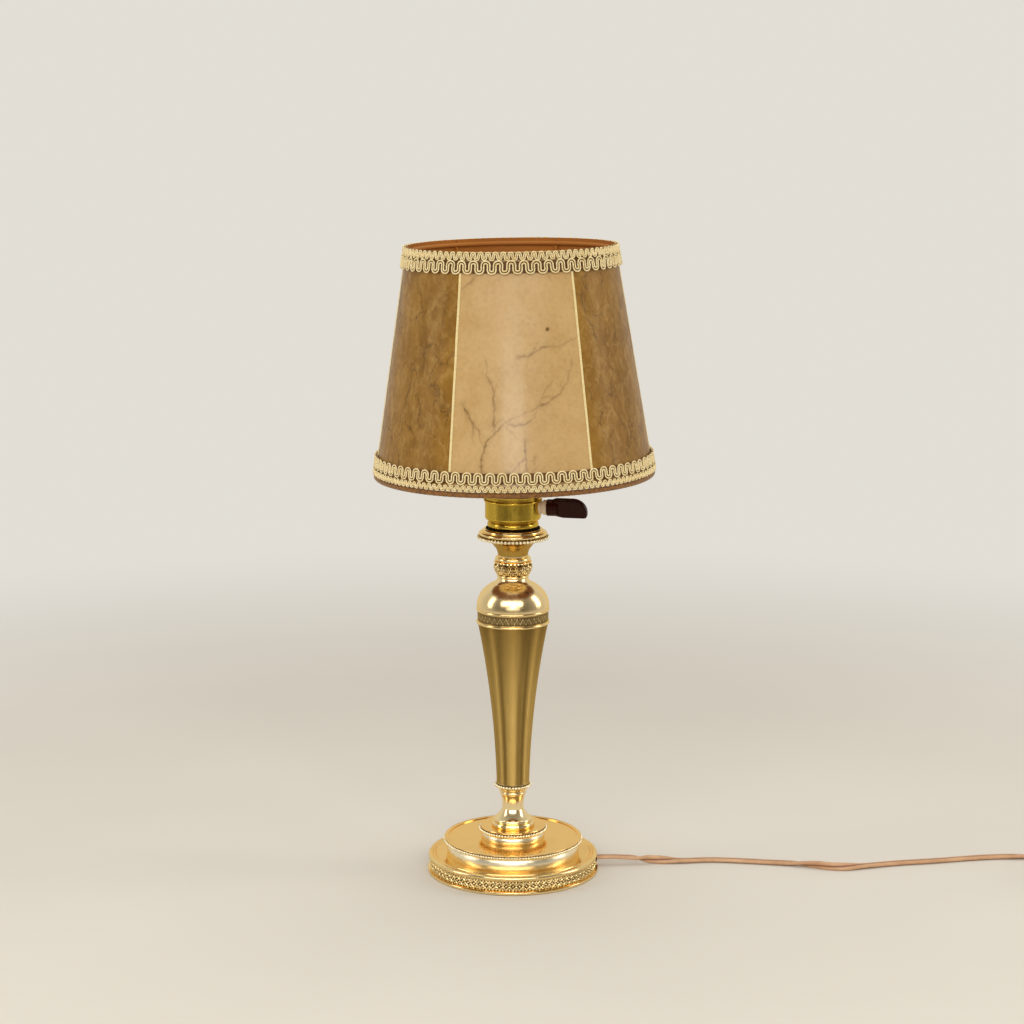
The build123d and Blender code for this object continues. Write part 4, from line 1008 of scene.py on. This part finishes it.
def make_bottom_ring():
    """The bottom wire wrapped in brown tape."""
    level = SHADE_LEVEL + WRAP_RADIUS
    radius = shade_radius(level) - WRAP_INSET
    wraps, per_wrap, sides = 150, 6, 14
    leaned = LEAN.to_3x3()
    path = []
    for index in range(wraps * per_wrap):
        angle = TAU * index / (wraps * per_wrap)
        point = LEAN @ Vector((radius * math.sin(angle), -radius * math.cos(angle), level))
        outward = leaned @ Vector((math.sin(angle), -math.cos(angle), 0))
        path.append((point, outward, leaned @ Vector((0, 0, 1))))

    def section(index):
        points = []
        for side in range(sides):
            turn = TAU * side / sides
            lap = (index / per_wrap + side / sides) % 1
            size = WRAP_RADIUS - WRAP_LAP + WRAP_LAP * lap
            points.append((size * math.cos(turn), size * math.sin(turn)))
        return points

    shape = Shape()
    shape.tube(path, sides, section, closed=True)
    shape.build("wrapped_bottom_ring", "shade", wrap_look, replaces=("shade_bottom_ring",),
                slot="wrapped_wire", crease=80)


make_panels()
make_tapes()
make_trims()
make_bottom_ring()


# Felt under the foot, and looks for the solids that stay

FELT_STEPS = 160
FELT_SECTION = ((0.6, 1.3), (49.2, 1.3), (49.5, 1.0), (49.5, 0.3), (49.1, 0.0), (0.6, 0.0))


def make_felt():
    shape = Shape()
    rows = []
    for index in range(FELT_STEPS):
        angle = TAU * index / FELT_STEPS
        rows.append([around(radius, angle, level) for radius, level in FELT_SECTION])
    shape.grid(rows, wrap_across=True, wrap_along=True)
    shape.build("felt_disc", "stand", felt, replaces=("felt_pad",), slot="felt")


make_felt()

looks = {
    brass_turned: ("vase_shoulder",),
    spool_brass: ("stem_spool",),
    shaded_drawn_brass: ("column",),
    socket_brass: ("socket_cap", "socket_shell", "screw_shell", "terminal_screws", "center_contact"),
    steel: ("threaded_rod", "rod_nut", "rod_washer", "key_shaft", "plug_blades"),
    iron: ("base_weight",),
    fibre_and_gap_shade_look: ("socket_gasket", "cord_bushing"),
    liner_look: ("socket_liner",),
    porcelain: ("socket_body", "switch_rotor"),
    bakelite: ("key_paddle",),
    cream: ("key_bushing",),
    cap_look: ("bulb_cap",),
    solder: ("bulb_tip",),
    black_glass: ("bulb_insulator",),
    glass: ("bulb_glass", "bulb_stem"),
    filament_look: ("bulb_filament",),
    wire_look: ("bulb_clip", "shade_arm"),
    inner_skin: ("shade_top_ring", "shade_ribs"),
    plug_look: ("plug_body",),
    tie_look: ("coil_tie",),
    flex: ("inner_cord",),
}
for material, names in looks.items():
    for name in names:
        mesh = nodes[name].data
        mesh.materials.clear()
        mesh.materials.append(material)
        for polygon in mesh.polygons:
            polygon.use_smooth = True
        mesh.set_sharp_from_angle(angle=math.radians(30))


# Studio: a pale floor, soft lamps and the camera at the photo's angle

scene = bpy.context.scene
scene.view_settings.view_transform = "Standard"

PALE = (0.76, 0.73, 0.67)
SHADED = (0.72, 0.69, 0.63)
DIM = (0.06, 0.05, 0.037)
PALE_FROM = 0.85  # share of the way from the front to the back where the room is fully pale
FLOOR_REACH = 8
FLOOR_FADE = (0.36, 1.1)  # where the lit floor passes into the room's glow

floor_mesh = bpy.data.meshes.new("floor")
corners = [(-FLOOR_REACH, -FLOOR_REACH, 0), (FLOOR_REACH, -FLOOR_REACH, 0),
           (FLOOR_REACH, FLOOR_REACH, 0), (-FLOOR_REACH, FLOOR_REACH, 0)]
floor_mesh.from_pydata(corners, [], [(0, 1, 2, 3)])
floor = bpy.data.objects.new("floor", floor_mesh)
scene.collection.objects.link(floor)
floor_look = Look("StudioFloor", Roughness=0.9, Specular_IOR_Level=0.1)
cloud = floor_look.ramp(floor_look.noise(3), (0.3, 0.0), (0.8, 1.0))
floor_look.set(Base_Color=floor_look.mix(cloud, PALE, SHADED))
away = floor_look.add("VectorMath", {0: floor_look.place}, operation="LENGTH")
fade = floor_look.add("MapRange", {"Value": away.outputs["Value"], "From Min": FLOOR_FADE[0],
                                   "From Max": FLOOR_FADE[1]}, interpolation_type="SMOOTHSTEP")
toward = floor_look.add("VectorMath", {0: floor_look.place}, operation="NORMALIZE")
depth = floor_look.add("SeparateXYZ", {0: toward.outputs[0]}).outputs["Y"]
depth = floor_look.add("MapRange", {"Value": depth, "From Min": -1.0, "From Max": 1.0}).outputs["Result"]
glow = floor_look.add("Emission", {"Color": floor_look.ramp(depth, (0.0, DIM), (PALE_FROM, PALE))})
blend = floor_look.add("MixShader", {"Fac": fade.outputs["Result"], 1: floor_look.shader.outputs[0],
                                     2: glow.outputs[0]})
floor_look.put(floor_look.tree.nodes["Material Output"], "Surface", blend.outputs[0])
floor_mesh.materials.append(floor_look.material)

world = bpy.data.worlds.new("studio")
scene.world = world
world.use_nodes = True
tree = world.node_tree
back = tree.nodes["Background"]
direction = tree.nodes.new("ShaderNodeTexCoord")
split = tree.nodes.new("ShaderNodeSeparateXYZ")
tree.links.new(direction.outputs["Generated"], split.inputs[0])
room = tree.nodes.new("ShaderNodeValToRGB")
room.color_ramp.elements[0].position = 0.0
room.color_ramp.elements[0].color = (*DIM, 1)
room.color_ramp.elements[1].position = PALE_FROM
room.color_ramp.elements[1].color = (*PALE, 1)
lift = tree.nodes.new("ShaderNodeMapRange")
lift.inputs["From Min"].default_value = -1
lift.inputs["From Max"].default_value = 1
tree.links.new(split.outputs["Y"], lift.inputs["Value"])
tree.links.new(lift.outputs["Result"], room.inputs["Fac"])
tree.links.new(room.outputs["Color"], back.inputs["Color"])


def area_lamp(name, place, aim, size, watts, color):
    lamp = bpy.data.lights.new(name, "AREA")
    lamp.shape = "RECTANGLE"
    lamp.size, lamp.size_y = size
    lamp.energy = watts
    lamp.color = color
    holder = bpy.data.objects.new(name, lamp)
    holder.location = place
    holder.rotation_euler = (Vector(aim) - Vector(place)).to_track_quat("-Z", "Y").to_euler()
    scene.collection.objects.link(holder)


area_lamp("key", (-0.1, -1.6, 1.15), (0, 0, 0.24), (2.4, 0.7), 20, (1, 0.96, 0.90))
area_lamp("low", (0, -1.9, 0.40), (0, 0, 0.1), (1.5, 0.5), 3, (1, 0.97, 0.92))
area_lamp("front", (0, -1.8, 0.58), (0, 0, 0.27), (0.6, 0.07), 2.4, (1, 0.97, 0.92))
area_lamp("left", (-1.3, -0.25, 0.7), (0, 0, 0.25), (0.4, 1.0), 3.6, (1, 0.95, 0.88))
area_lamp("right", (1.3, 0.0, 0.7), (0, 0, 0.25), (0.4, 1.0), 4.3, (1, 0.95, 0.88))
area_lamp("top", (0, 0.3, 1.7), (0, 0, 0.2), (1.2, 1.2), 4, (1, 0.97, 0.93))

lens = bpy.data.cameras.new("camera")
lens.lens = 85
lens.sensor_width = 36
camera = bpy.data.objects.new("camera", lens)
camera.location = (-0.0006, -1.45, 0.4873)
camera.rotation_euler = (math.radians(79.8), 0, 0)
scene.collection.objects.link(camera)
scene.camera = camera

bpy.context.view_layer.update()
